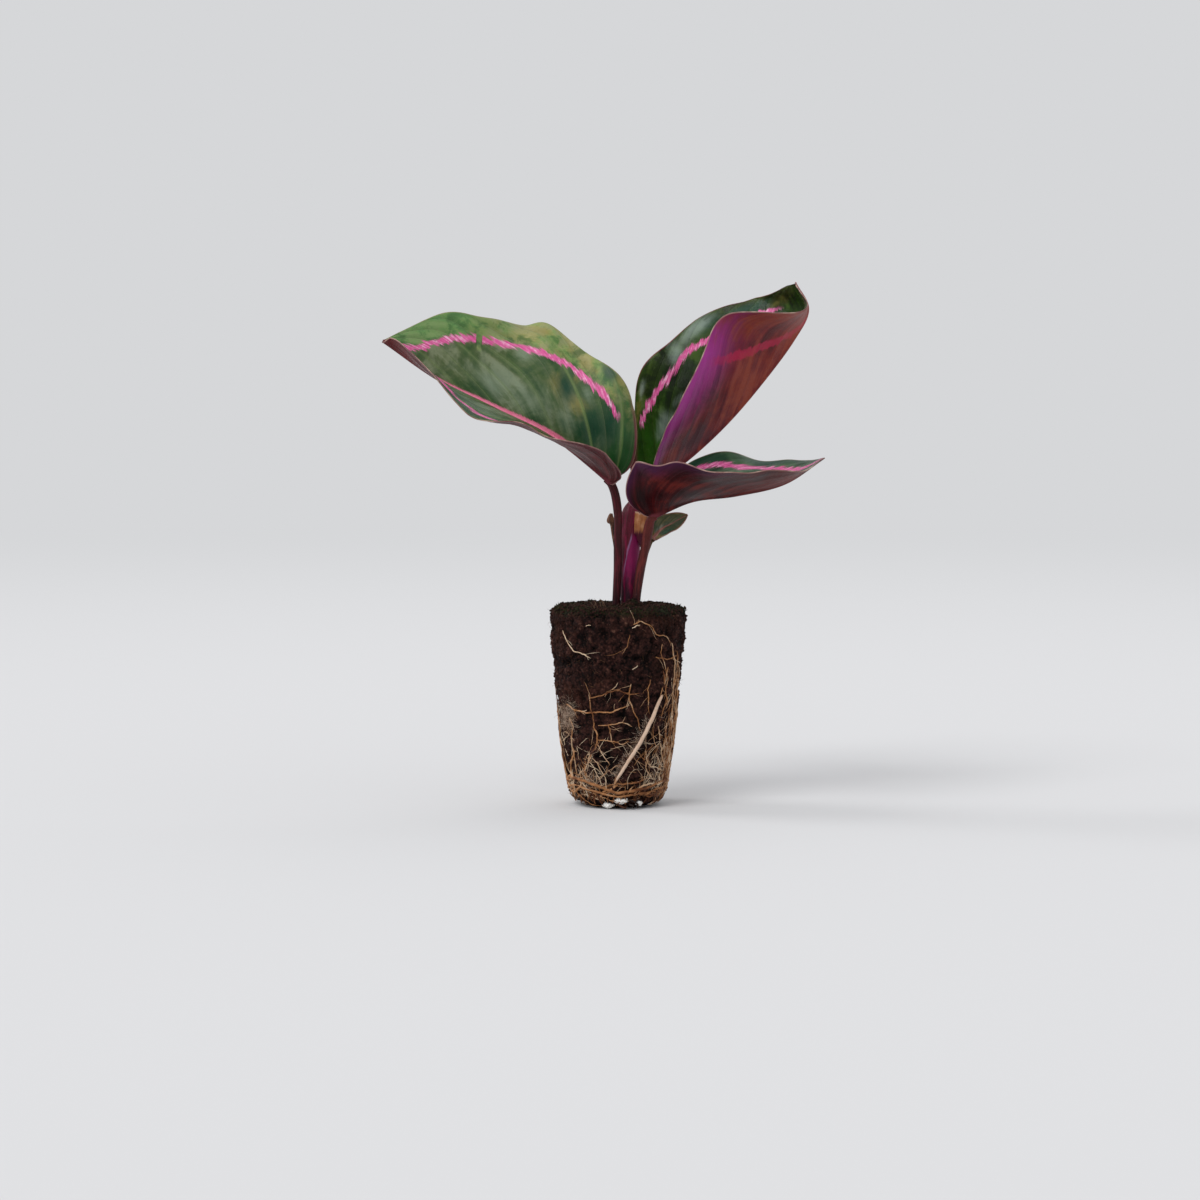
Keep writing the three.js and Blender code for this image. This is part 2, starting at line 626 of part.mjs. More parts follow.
// The net of fine roots over the lower part of the plug, all grown together.
function rootNet() {
  const parts = RINGS.map(ringRoot);
  for (const root of FRONT_ROOTS) {
    const points = root.line.map(([x, height]) => onFront(x, height, ROOT_LIFT));
    parts.push(rootTube(points, ROOT_RADIUS * root.share));
  }
  const draw = drawFrom(77);
  const risers = [];
  for (let n = 0; n < BACK_ROOTS; n += 1) {
    const start = Math.PI * (0.56 + 0.88 * (n + 0.3 + 0.4 * draw()) / BACK_ROOTS);
    const top = 18 + 22 * draw();
    const lean = (draw() - 0.5) * 0.5;
    const points = [];
    for (let k = 0; k <= 5; k += 1) {
      const height = 5.4 + (top - 5.4) * k / 5;
      points.push([start + lean * k / 5 + (draw() - 0.5) * 0.1, height]);
    }
    risers.push(points);
    parts.push(rootTube(points.map(([angle, height]) => onPlug(angle, height, ROOT_LIFT)), ROOT_RADIUS * 0.95));
  }
  for (let n = 0; n < BACK_LINKS; n += 1) {
    const from = risers[n + 1];
    const to = risers[n + 2];
    const i = 1 + Math.floor(draw() * 3);
    const k = 1 + Math.floor(draw() * 3);
    const [angleA, heightA] = from[i];
    const [angleB, heightB] = to[k];
    const points = [];
    for (let m = 0; m <= 4; m += 1) {
      const t = m / 4;
      points.push(onPlug(
        angleA + (angleB - angleA) * t,
        heightA + (heightB - heightA) * t + Math.sin(Math.PI * t) * 1.2,
        ROOT_LIFT,
      ));
    }
    parts.push(rootTube(points, ROOT_RADIUS * 0.75));
  }
  let net = toSolid(parts[0]);
  for (const part of parts.slice(1)) {
    net = net.add(toSolid(part));
  }
  const bodies = net.decompose();
  bodies.sort((a, b) => b.volume() - a.volume());
  return fromSolid(bodies[0]);
}

function mainRoot() {
  const points = MAIN_ROOT.line.map(([x, height]) => onFront(x, height, MAIN_ROOT.lift));
  return tube(points, MAIN_ROOT.radii, 8, 14);
}

// The stalk is rolled sheaths: one edge laps over the next and climbs round it.
function rolledSheath(angle, u) {
  const turn = (angle / (2 * Math.PI) + 0.12 * u) % 1;
  return 0.9 + 0.16 * turn;
}

function stalkPoint(height) {
  const points = STALK.points;
  let i = 1;
  while (i < points.length - 1 && points[i][2] < height) {
    i += 1;
  }
  const t = (height - points[i - 1][2]) / (points[i][2] - points[i - 1][2]);
  return [
    points[i - 1][0] + (points[i][0] - points[i - 1][0]) * t,
    points[i - 1][1] + (points[i][1] - points[i - 1][1]) * t,
    STALK.radii[i - 1] + (STALK.radii[i] - STALK.radii[i - 1]) * t,
  ];
}

// The dry scale that wraps the front right of the stalk, with a torn top edge.
function paperySheath() {
  const columns = 7;
  const rows = 5;
  const draw = drawFrom(9);
  const torn = Array.from({ length: columns + 1 }, () => draw() * 1.3);
  const inner = [];
  const outer = [];
  for (let i = 0; i <= rows; i += 1) {
    for (let k = 0; k <= columns; k += 1) {
      const share = k / columns;
      const angle = THREE.MathUtils.degToRad(PAPERY_SHEATH.from + (PAPERY_SHEATH.to - PAPERY_SHEATH.from) * share);
      const high = PAPERY_SHEATH.high - torn[k] * 0.5;
      const low = PAPERY_SHEATH.low + PAPERY_SHEATH.slant * share;
      const height = low + (high - low) * i / rows;
      const [x, y, radius] = stalkPoint(height);
      const near = radius * 1.08 + PAPERY_SHEATH.clearance;
      const flare = 0.45 * (i / rows) ** 2 * share;
      for (const [list, reach] of [[inner, near + flare], [outer, near + flare + PAPERY_SHEATH.thickness]]) {
        list.push([x + reach * Math.cos(angle), y + reach * Math.sin(angle), height]);
      }
    }
  }
  const positions = [...inner, ...outer].flat();
  const faces = [];
  const offset = inner.length;
  const width = columns + 1;
  const quad = (a, b, c, d) => faces.push(a, b, c, a, c, d);
  for (let i = 0; i < rows; i += 1) {
    for (let k = 0; k < columns; k += 1) {
      const a = i * width + k;
      quad(a, a + width, a + width + 1, a + 1);
      quad(offset + a, offset + a + 1, offset + a + width + 1, offset + a + width);
    }
    const left = i * width;
    const right = left + columns;
    quad(left, offset + left, offset + left + width, left + width);
    quad(right, right + width, offset + right + width, offset + right);
  }
  for (let k = 0; k < columns; k += 1) {
    const top = rows * width + k;
    quad(k, k + 1, offset + k + 1, offset + k);
    quad(top, offset + top, offset + top + 1, top + 1);
  }
  return facingOut(closedMesh(positions, faces));
}

const plant = new THREE.Group();

function place(name, geometry, finish) {
  const [colour, roughness] = COLOURS[finish];
  const material = new THREE.MeshStandardMaterial({ color: colour, roughness, metalness: 0 });
  const mesh = new THREE.Mesh(geometry, material);
  mesh.name = name;
  plant.add(mesh);
  return mesh;
}

const stems = [STALK, PETIOLE_LEFT, PETIOLE_RIGHT, PETIOLE_SMALL, OLD_STUB];
place('soil_plug', soilPlug(stems), 'peat');
place('root_net', rootNet(), 'root');
place('main_root', mainRoot(), 'youngRoot');
for (const spec of GRAINS) {
  place(spec.name, grain(spec, 0), 'perlite');
}
place('stalk', tube(STALK.points, STALK.radii, 16, 18, rolledSheath), 'stalk');
place('papery_sheath', paperySheath(), 'dry');
place('petiole_left', tube(PETIOLE_LEFT.points, PETIOLE_LEFT.radii, 9, 18), 'stem');
place('petiole_right', tube(PETIOLE_RIGHT.points, PETIOLE_RIGHT.radii, 9, 14), 'stem');
place('petiole_small', tube(PETIOLE_SMALL.points, PETIOLE_SMALL.radii, 7, 10), 'stem');
place('old_leaf_stub', tube(OLD_STUB.points, OLD_STUB.radii, 7, 14), 'dry');
place('leaf_left', facingOut(blade(LEFT_LEAF)), 'leaf');
place('leaf_right', facingOut(blade(RIGHT_LEAF)), 'maroonLeaf');
place('leaf_upright', facingOut(blade(UPRIGHT_LEAF)), 'youngLeaf');
place('leaf_small', facingOut(blade(SMALL_LEAF)), 'smallLeaf');

export default plant;
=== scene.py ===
"""A young rose-painted prayer plant, lifted bare from its tray on its tapered plug of peat.

Lengths are millimetres, and every finished mesh is brought to metres as it is made. The leaves, stems and
roots follow the same laws and values as the solids, with finer faces, and each stands for its solid.
"""
import itertools
import math
import random

import bpy
import numpy as np
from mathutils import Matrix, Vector, noise


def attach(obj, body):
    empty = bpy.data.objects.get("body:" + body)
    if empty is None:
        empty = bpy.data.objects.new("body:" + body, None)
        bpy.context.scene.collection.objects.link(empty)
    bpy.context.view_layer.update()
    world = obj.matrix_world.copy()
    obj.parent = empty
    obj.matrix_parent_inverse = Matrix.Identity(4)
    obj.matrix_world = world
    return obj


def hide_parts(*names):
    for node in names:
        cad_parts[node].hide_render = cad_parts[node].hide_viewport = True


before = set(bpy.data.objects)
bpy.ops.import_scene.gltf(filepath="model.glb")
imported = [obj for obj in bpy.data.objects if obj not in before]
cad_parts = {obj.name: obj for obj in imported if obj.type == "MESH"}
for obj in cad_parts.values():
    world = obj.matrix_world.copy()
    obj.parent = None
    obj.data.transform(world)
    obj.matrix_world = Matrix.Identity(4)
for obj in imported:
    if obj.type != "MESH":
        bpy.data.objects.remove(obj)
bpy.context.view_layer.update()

MM = 0.001
FULL_TURN = 2 * math.pi
DOWNWARDS = -math.pi / 2

# The camera looks along +Y, a little down, as the photograph does.
CAMERA_AIM = (-4.9, 0.0, 57.0)
CAMERA_DISTANCE = 900.0
CAMERA_RISE = 4.0
CAMERA_LENS = 97.2
CAMERA_SENSOR = 36.0
ROOM_SHADE = "d6d7d9"
FLOOR_SHADE = "cfcfd0"
# The floor is a disc that fades into the room between two distances from the plant, all in metres.
FLOOR_RADIUS = 9
FLOOR_SIDES = 96
FLOOR_FADE = (0.25, 1.6)
# Each light: its name, its strength, and its spread, tilt and turn in degrees.
LIGHTS = [("key", 1.35, 30, 40, -38), ("side", 0.75, 22, 56, -107), ("back", 0.35, 50, 50, 140)]

# The plug's outline, from its flat foot up to the rim and in over the top: radius and height.
PLUG_OUTLINE = [
    (0, 0), (8.4, 0), (11, 0.7), (12.4, 2.2), (13.2, 4.4), (13.7, 7), (14.2, 9.8), (14.7, 12.6),
    (15.1, 15.4), (15.6, 18.4), (15.9, 21.4), (16.2, 24.4), (16.4, 27.4), (16.7, 30.4), (17, 33.4),
    (17.3, 36.4), (17.6, 39.4), (17.9, 42.4), (18.2, 45.4), (18.4, 48.2), (18.6, 50.8), (18.7, 53),
    (18.1, 54.6), (16.5, 55.4), (13.4, 55.5), (9.6, 55.4), (0, 55.4),
]
PLUG_SIDES = 330
PLUG_STEP = 0.42
PLUG_MEAN_RADIUS = 16
SOIL_TOP = 55.4
# Hollows in the peat: x, height, half width, half height and depth, all on the front.
HOLLOWS = [
    (-14.6, 40.3, 1.5, 1.2, 1.6), (5.6, 42.2, 2, 0.9, 1.3), (-10.5, 41.2, 3, 0.7, 0.7),
    (-1, 40.6, 5, 0.6, 0.5), (9.5, 20.5, 1.6, 1.4, 1), (-3.4, 13.5, 1.6, 2, 0.9),
    (2.6, 21.5, 2.2, 1.2, 0.8),
]
# The heap of crumbs against the stalk: its middle, radius and height.
SOIL_HEAP = {"x": 4.2, "y": -5, "radius": 3.4, "height": 2.3}

# How the margin and the side veins of every blade run.
OUTLINE_SPREAD = 1.6
GRID_SWEEP = 1.4
GRID_BEND = 1.3
VEIN_SWEEP = 0.33
VEIN_BEND = 0.25
VEIN_SPACING = 1.25
# Only some of the fine side veins stand out, this many apart.
MAIN_VEIN_STEP = 1.8
BLADE_BASE_HALF_WIDTH = 0.75
BLADE_TIP_HALF_WIDTH = 0.3
BLADE_HALF_THICKNESS = 0.2
# A lobe runs back past the base of the blade, and a foot is a narrower one at this share of the way.
LOBE_PEAK = 0.42
FOOT_LOBE_AT = 0.07
RIM_HALF_THICKNESS = 0.13
RIM_ROUND = 0.1
MIDRIB_DEPTH = 0.85
MIDRIB_HALF_WIDTH = 0.8
GROOVE_DEPTH = 0.3
GROOVE_HALF_WIDTH = 0.6
BLADE_LUMPS = 0.34
# What a half blade has that names no ripple of its margin, and no gap in its ring.
NO_RIPPLE = (0, 0, 0)
NO_GAP = (2, 2)

# The pink ring sets in at this share of the way from base to tip.
RING_STARTS = 0.3
# Where it lies on a half blade: its share of the half width at even steps from base to tip.
PLAIN_RING = [0.92, 0.9, 0.84, 0.75, 0.71, 0.7, 0.7, 0.71, 0.73, 0.57, 0.1]

# Blotches are places on the blade: half, way from base to tip, share of the half width, and reach in each.
# On each leaf one list of blotches is a painted sheen: pale patches in the base colour that stand in for
# gloss highlights.
LEFT_LEAF = {
    "rib": [(-1.9, -1, 89.8), (-17.9, -3, 102.4), (-34, -5, 110.7), (-49.7, -6, 118.4), (-64.3, -8, 128.6)],
    "facing": [(0, -0.7, 0.7), (0.1, -0.7, 0.7), (0, -0.7, 0.7)],
    "width": 27, "base": 0.52, "tip": 0.78, "lobe": 0.114, "rows": 210, "reach": 44, "veins": 16,
    "quilt": 0.3,
    "right": {
        "fold": [65, 45, 30, 23, 3], "curl": [-29, -37, -33, 1, 29], "wave": (0.92, 3.71, -0.17),
        "ripple": (0.08, 2.7, -0.03), "width": 1.1, "gap": (0.779, 0.794), "foot": 0.012,
        "ring": [0.9, 0.86, 0.78, 0.69, 0.71, 0.73, 0.65, 0.71, 0.71, 0.52, 0.05],
    },
    "left": {
        "fold": [79, 41, 29, 49, 85], "curl": [-20, 20, 18, 12, 13], "wave": (-2.06, 2.68, -1.24),
        "width": 0.81,
    },
    "teal": [
        (1, 0.525, 0.49, 0.025, 0.09), (1, 0.39, 0.32, 0.05, 0.2), (1, 0.32, 0.48, 0.06, 0.22),
        (1, 0.405, 0.96, 0.025, 0.06), (-1, 0.78, 0.8, 0.15, 0.4),
    ],
    "painted_sheen": [
        (1, 0.63, 0.2, 0.1, 0.18), (1, 0.74, 0.25, 0.07, 0.2), (1, 0.5, 0.2, 0.06, 0.12),
        (-1, 0.75, 0.5, 0.12, 0.4), (1, 0.66, 0.62, 0.04, 0.1), (1, 0.45, 0.6, 0.03, 0.08),
    ],
    "tan": [
        (1, 0.555, 0.47, 0.03, 0.12), (1, 0.46, 0.4, 0.05, 0.14), (1, 0.58, 0.88, 0.06, 0.06),
        (1, 0.46, 0.86, 0.05, 0.06), (1, 0.5, 0.64, 0.02, 0.08), (1, 0.37, 0.97, 0.05, 0.05),
    ],
}
RIGHT_LEAF = {
    "rib": [(9.4, -5, 80.3), (20.4, -7, 84.9), (32.4, -9, 86.5), (45.5, -10, 89.7), (56.4, -10, 96.8)],
    "facing": [(-0.2, 0, 1), (0, 0, 1), (0, 0, 1)],
    "width": 17.5, "base": 0.5, "tip": 0.8, "lobe": 0.168, "rows": 190, "reach": 40, "veins": 14,
    "quilt": 0.1,
    "right": {
        "fold": [38, 12, 24, 11, 5], "curl": [70, 10, 18, -14, -7], "wave": (4.35, 2, 0.75),
        "width": 1.15,
    },
    "left": {
        "fold": [85, 60, 41, 26, 6], "curl": [-3, -3, -3, -5, -5], "wave": (1.33, 2.4, 0.27),
        "width": 0.96, "base": 1, "lobe": 0.05,
        "ring": [0.9, 0.85, 0.8, 0.75, 0.7, 0.69, 0.69, 0.66, 0.72, 0.5, 0.1],
    },
    "teal": [(-1, 0.5, 0.85, 0.12, 0.1), (-1, 0.8, 0.9, 0.1, 0.1)],
    "painted_sheen": [(-1, 0.66, 0.6, 0.08, 0.12), (1, 0.5, 0.5, 0.1, 0.2)],
    "tan": [(-1, 0.58, 0.97, 0.03, 0.05)],
}
UPRIGHT_LEAF = {
    "rib": [
        (10.8, 10, 89.5), (20.8, 10, 96.7), (31, 10, 106.2), (40.4, 10, 117.1), (49, 10, 128.8),
        (53.1, 10, 137.5), (49.5, 10, 144.9),
    ],
    "facing": [
        (-0.89, 0.1, 0.83), (-0.79, 0.05, 0.73), (-0.7, 0.05, 0.57), (-0.7, 0.05, 0.29), (-0.68, 0, -0.13),
    ],
    "width": 27, "base": 0.57, "tip": 0.62, "lobe": 0, "rows": 210, "reach": 44, "veins": 16,
    "quilt": 0.2,
    "right": {
        "fold": [23, 30, 33, 33, 9, 5], "curl": [-16, -4, 2, 16, -11, -18], "wave": (0.54, 3.37, -0.1),
        "ripple": (-0.02, 3, 0), "width": 1.08,
        "ring": [0.9, 0.9, 0.9, 0.9, 0.9, 0.88, 0.86, 0.57, 0.3, 0, -0.3],
    },
    "left": {
        "fold": [84, 80, 73, 61, 50, 42], "curl": [1, 4, -1, -7, -6, 3], "wave": (-1.84, 2.19, -0.01),
        "ripple": (-0.05, 3, 0), "width": 1.12, "foot": 0.055,
        "ring": [0.92, 0.9, 0.85, 0.79, 0.72, 0.73, 0.78, 0.68, 0.7, 0.5, 0.15],
    },
    "teal": [(-1, 0.8, 0.8, 0.1, 0.1)],
    "painted_sheen": [
        (-1, 0.56, 0.86, 0.035, 0.12), (-1, 0.66, 0.92, 0.06, 0.07), (-1, 0.43, 0.42, 0.07, 0.1),
        (-1, 0.4, 0.9, 0.03, 0.04), (-1, 0.52, 0.5, 0.04, 0.06),
    ],
    "tan": [(-1, 0.3, 0.9, 0.1, 0.06), (-1, 0.9, 0.6, 0.06, 0.1)],
}
SMALL_LEAF = {
    "rib": [(9.9, 4.9, 73.4), (12.3, 5.6, 76.3), (15.4, 6.2, 78), (19.5, 6.6, 80.4)],
    "facing": [(-0.5, -0.5, 0.7), (-0.3, -0.6, 0.75), (-0.1, -0.7, 0.7)],
    "width": 3.8, "base": 0.5, "tip": 0.7, "lobe": 0, "rows": 90, "reach": 18, "veins": 8, "quilt": 0.1,
    "right": {
        "fold": [8, 0, 0], "curl": [10, 10, 10], "wave": (0.2, 2, 0.2), "width": 0.95,
    },
    "left": {
        "fold": [35, 35, 35], "curl": [10, 5, 0], "wave": (0.25, 2, 0.5), "width": 1,
    },
    "teal": [(1, 0.62, 0.7, 0.15, 0.3)],
    "tan": [(1, 0.25, 0.6, 0.16, 0.5)],
    "painted_sheen": [(-1, 0.55, 0.2, 0.2, 0.14)],
}

# Each stem: the points of its middle from the foot in the soil to the leaf that it carries, and its radii.
STALK = {
    "points": [
        (2.7, 0.8, 45.5), (2.9, 0.9, 56), (3.2, 1.2, 64), (3.5, 1.5, 72.5), (3.9, 2, 78.5), (4.6, 3, 82),
        (6.2, 5.8, 85), (9.95, 9.7, 89), (10.9, 10, 89.8),
    ],
    "radii": [2, 2.1, 2.45, 2.65, 2.65, 2.2, 1.6, 1, 0.9],
}
PETIOLE_LEFT = {
    "points": [
        (-0.6, -0.7, 45.5), (-0.4, -0.9, 56), (0, -1.5, 66), (0, -1.9, 74), (0.1, -1.8, 80),
        (-0.5, -1.2, 85.4), (-1.65, -0.5, 88.95), (-3.4, -0.6, 90.5),
    ],
    "radii": [1.1, 1.12, 1.12, 1.1, 1.1, 1.2, 1.1, 0.8],
}
PETIOLE_RIGHT = {
    "points": [
        (4.9, -2, 45.5), (5.1, -2.1, 56), (6.2, -2.6, 65), (7.7, -3.5, 72.5), (8.65, -4.5, 77.9),
        (9.3, -5, 79.7), (10.6, -5.2, 80.3),
    ],
    "radii": [1.1, 1.12, 1.2, 1.25, 1.3, 1.1, 0.8],
}
PETIOLE_SMALL = {
    "points": [(5.3, 3.3, 45.5), (5.6, 3.5, 56), (6.9, 4.6, 66), (9, 5, 72.4), (10.1, 4.95, 73.5)],
    "radii": [0.6, 0.62, 0.65, 0.6, 0.5],
}
OLD_STUB = {
    "points": [
        (0, 3.3, 45.5), (0, 3.4, 56), (-0.3, 3.5, 68), (-1.2, 3.7, 77), (-1.9, 3.8, 79.2),
        (-1.7, 3.9, 80.9),
    ],
    "radii": [0.55, 0.55, 0.55, 0.7, 0.95, 0.35],
}

# The thick young root, as x and height down the front of the plug.
MAIN_ROOT = {
    "line": [
        (11.9, 31.9), (10.4, 28.6), (8.7, 24.4), (6.9, 20.8), (4.7, 16.8), (2.3, 13), (0.4, 9.9),
        (-0.8, 7.4),
    ],
    "radii": [0.34, 0.48, 0.54, 0.54, 0.5, 0.45, 0.38, 0.2],
    "lift": 0.8,
}

# The roots of the net at the front: points as x and height, the radius, and how pale each is.
NET_ROOTS = [
    ([(-8.6, 8.4), (-9.4, 11.2), (-7.8, 14.6), (-5.8, 18.4), (-5.9, 22.4), (-7.2, 26.4), (-7.7, 32.2)],
     0.26, 0.3),
    ([(-7.6, 31.2), (-4, 31.8), (-0.4, 33), (3.4, 32.2), (7.2, 32.6)], 0.18, 0.3),
    ([(-12.2, 27.6), (-9.4, 27.4), (-6, 27.2), (-2.6, 27.4), (0.2, 28.3), (3.2, 29.4)], 0.26, 0.4),
    ([(3.6, 35.2), (3.4, 32.2), (3.7, 29.4), (5, 25.4), (6.2, 22)], 0.2, 0.35),
    ([(8.9, 36.2), (8.5, 32.6), (8.2, 29.2), (8.8, 26.6)], 0.17, 0.4),
    ([(-5.4, 23.6), (-1.2, 23.9), (2.2, 24), (3.9, 23.4)], 0.19, 0.5),
    ([(-5.8, 19.6), (-1.8, 19.4), (1.4, 18.4), (3, 19.4)], 0.19, 0.45),
    ([(-2.7, 24), (-1.9, 20.4), (-0.9, 18.6)], 0.16, 0.5),
    ([(-5.8, 18.6), (-3.8, 15.4), (-2.2, 12.6)], 0.16, 0.65),
    ([(-10.8, 8.9), (-8.4, 12.4), (-6.9, 16.2)], 0.18, 0.6),
    ([(-4.6, 6.4), (-5.2, 9.4), (-7.4, 12.6), (-9.6, 14.2)], 0.15, 0.7),
    ([(-3, 5.6), (-3.6, 9), (-5.6, 12.4), (-8, 14.8)], 0.15, 0.65),
    ([(14.8, 46), (15.6, 40), (15.3, 32), (14.7, 24), (13.8, 15), (12.2, 6.6)], 0.26, 0.55),
    ([(16.4, 43.5), (16.6, 36), (16, 27), (15, 18), (13.4, 9), (12.4, 6.4)], 0.26, 0.4),
    ([(10.4, 42.4), (12.8, 41.2), (15.4, 42.4), (16.5, 42.6)], 0.2, 0.2),
    ([(11.1, 23.2), (11.6, 20.4), (12, 15.4), (12.6, 10.9), (12.2, 7.2)], 0.22, 0.6),
    ([(7.7, 16.4), (8.4, 13.1), (10.6, 11), (12.4, 10.4)], 0.24, 0.65),
    ([(11.9, 15.8), (13.6, 19.2), (14.4, 20.4)], 0.2, 0.45),
    ([(7.6, 13.4), (8.2, 10.4), (10, 7.9)], 0.19, 0.7),
    ([(5.4, 5.9), (8, 7), (11.2, 6.6), (12.9, 7.4)], 0.34, 0.75),
    ([(-15.2, 49.4), (-14.2, 46.4), (-11.8, 44.2), (-9, 43.2), (-7.4, 42.2)], 0.17, 0.85),
    ([(4.2, 51.6), (6.4, 52.4), (9, 51.2), (10.8, 48.8), (13.6, 47.6), (14.6, 45.2)], 0.17, 0.5),
    ([(3.8, 50.6), (5.2, 51.8), (6, 51.5)], 0.16, 0.95),
    ([(3.2, 48.8), (2.6, 46.4), (1.2, 43.4)], 0.11, 0.35),
    ([(0, 35.6), (-2, 33.4), (-3.6, 31.6)], 0.11, 0.7),
    ([(12.4, 47), (11.8, 42.6), (13.8, 37), (13, 33), (12.4, 31.6)], 0.13, 0.45),
    ([(-8.8, 50.9), (-7.4, 51.2)], 0.11, 0.9),
    ([(3.9, 39.2), (5, 39.8), (5.4, 40.1)], 0.13, 0.95),
    ([(-13.4, 25.4), (-12.4, 23), (-12.6, 18.8), (-11.9, 14), (-11, 8)], 0.2, 0.55),
    ([(-14.2, 28.8), (-12.6, 27.8), (-11.2, 27.4)], 0.24, 0.35),
]
# The two roots that circle the foot: their heights from the front round by the right, 30 degrees apart.
RING_ROOTS = [
    ([4.7, 5.7, 7.2, 6.8, 5.6, 6.2, 7, 5.4, 6, 6.6, 8.6, 7], 0.42, 0.3),
    ([3.7, 4.4, 5.3, 5, 7, 5, 4.6, 6.9, 4.8, 5.2, 5.9, 5], 0.3, 0.42),
]
# Short dark roots that hook out under the front of the foot, as x, y and height.
DARK_HOOKS = [
    [(-1.4, -11.6, 2.4), (0.2, -12.6, 1.4), (1.7, -12.8, 0.6), (2.6, -12.2, 0.9)],
    [(1.9, -12, 2.9), (3.8, -12.8, 2.6), (5.2, -12.9, 1.8), (5.6, -12.6, 0.8), (5.1, -12.2, 0.4)],
    [(3.2, -12.2, 1.4), (4.1, -12.7, 1.1), (4.4, -12.6, 0.5)],
]
# A root's points are this far apart, its skin rises this far from the peat, and it is thinner at its ends.
ROOT_STEP = 0.45
ROOT_LIFT = 0.3
ROOT_TAPER = (0.6, 0.25)
TWIGS_PER_STEP = 0.13
# How many seeded roots there are: down the back, at the front right and round the foot, then twigs all over
# and in the places where they mat, each as x and height, and last the dark ends under the foot.
BACK_ROOTS = 36
RIGHT_ROOTS = 40
LOW_ROOTS = 34
LOOSE_TWIGS = 230
MATTED_TWIGS = 80
MATTED_PLACES = ((-7.5, 8), (10.5, 13), (8, 10), (7.5, 16), (-5.5, 13))
FOOT_ENDS = 46
# Patches of fine white root hairs: x, height, reach each way and how many.
HAIR_PATCHES = [
    (-14.2, 25.4, 2.4, 4.6, 480), (-7.5, 8.5, 4.4, 3, 110), (11, 12.6, 3.2, 5.5, 60),
    (9.4, 7, 3.6, 2.2, 60), (-8.5, 6.6, 3.8, 2.2, 70), (13.6, 20, 1.8, 9, 60),
]
HAIR_STEP = 0.45
# The hairs along the thick root, and the long ones that stand up at the rim.
MAIN_ROOT_HAIRS = 240
STANDING_HAIRS = 9
# Dark sprigs of moss on the rim, as their angle from the front round by the right, and their size.
RIM_SPRIGS = [
    (14.5, 0.5), (20, 0.8), (38, 1), (44, 1.5), (50, 1.2), (66, 1.5), (84, 2), (94, 1.3),
    (-88, 1.3), (-70, 0.9), (-52, 0.7), (-104, 1.2), (122, 1.2), (151, 1.3), (178, 1),
    (-150, 1.3), (-128, 1), (-30, 0.6),
]
# The papery scale on the stalk is this thick.
SCALE_THICKNESS = 0.2
# The white grains at the foot: the middle of each, its radii and its seed.
GRAINS = [
    {"name": "perlite_a", "middle": (0.9, -12, 2.6), "radii": (2, 1.1, 1), "seed": 5},
    {"name": "perlite_b", "middle": (-2.6, -10.9, 1.15), "radii": (1.6, 1.1, 0.85), "seed": 8},
    {"name": "perlite_c", "middle": (5.8, -10.4, 1.7), "radii": (1, 0.9, 0.8), "seed": 12},
]


def paint(text):
    """A colour written as six hex digits, as the renderer's own red, green, blue and alpha."""
    values = [int(text[i:i + 2], 16) / 255 for i in (0, 2, 4)]
    linear = [v / 12.92 if v <= 0.04045 else ((v + 0.055) / 1.055) ** 2.4 for v in values]
    return (*linear, 1.0)


def unit(vectors):
    length = np.linalg.norm(vectors, axis=-1, keepdims=True)
    return vectors / np.maximum(length, 1e-12)


def smoothly(values, u):
    """Smooth values through evenly spaced ones, at each u from 0 to 1."""
    values = np.asarray(values, float)
    last = len(values) - 1
    ends = np.concatenate([[2 * values[0] - values[1]], values, [2 * values[-1] - values[-2]]])
    place = np.clip(u, 0, 1) * last
    i = np.minimum(np.asarray(place).astype(int), last - 1)
    t = place - i
    if values.ndim > 1:
        t = t[..., None]
    before, start, end, after = ends[i], ends[i + 1], ends[i + 2], ends[i + 3]
    slope, next_slope = (end - before) / 2, (after - start) / 2
    square, cube = t * t, t * t * t
    return ((2 * cube - 3 * square + 1) * start + (cube - 2 * square + t) * slope
            + (3 * square - 2 * cube) * end + (cube - square) * next_slope)


def eased(value, low, high):
    t = np.clip((value - low) / (high - low), 0, 1)
    return t * t * (3 - 2 * t)


def piece_from(name, points, faces, finishes, values=None, face_finish=None, uv=None):
    """A finished piece at the origin: points in millimetres, faces, materials and its own point values."""
    mesh = bpy.data.meshes.new(name)
    mesh.from_pydata([tuple(p) for p in np.asarray(points, float) * MM], [], [tuple(f) for f in faces])
    for finish in finishes:
        mesh.materials.append(finish)
    if face_finish is not None:
        mesh.polygons.foreach_set("material_index", np.asarray(face_finish, np.int32))
    keep_values(mesh, values or {})
    if uv is not None:
        layer = mesh.uv_layers.new(name="blade_map")
        corners = np.zeros(len(mesh.loops), np.int32)
        mesh.loops.foreach_get("vertex_index", corners)
        layer.data.foreach_set("uv", np.asarray(uv, np.float32)[corners].ravel())
    mesh.polygons.foreach_set("use_smooth", np.ones(len(mesh.polygons), bool))
    mesh.update()
    return linked(name, mesh)


def keep_values(mesh, values):
    for label, numbers in values.items():
        layer = mesh.attributes.new(label, "FLOAT", "POINT")
        layer.data.foreach_set("value", np.asarray(numbers, np.float32).ravel())


def linked(name, data):
    thing = bpy.data.objects.new(name, data)
    bpy.context.scene.collection.objects.link(thing)
    return thing


def set_socket(tree, socket, value):
    """Joins a socket to another one, or gives it a value."""
    if isinstance(value, bpy.types.NodeSocket):
        tree.links.new(value, socket)
    else:
        socket.default_value = value


def add_node(tree, kind, inputs, **settings):
    node = tree.nodes.new(kind)
    for word, value in settings.items():
        setattr(node, word, value)
    for word, value in inputs.items():
        set_socket(tree, node.inputs[word], value)
    return node


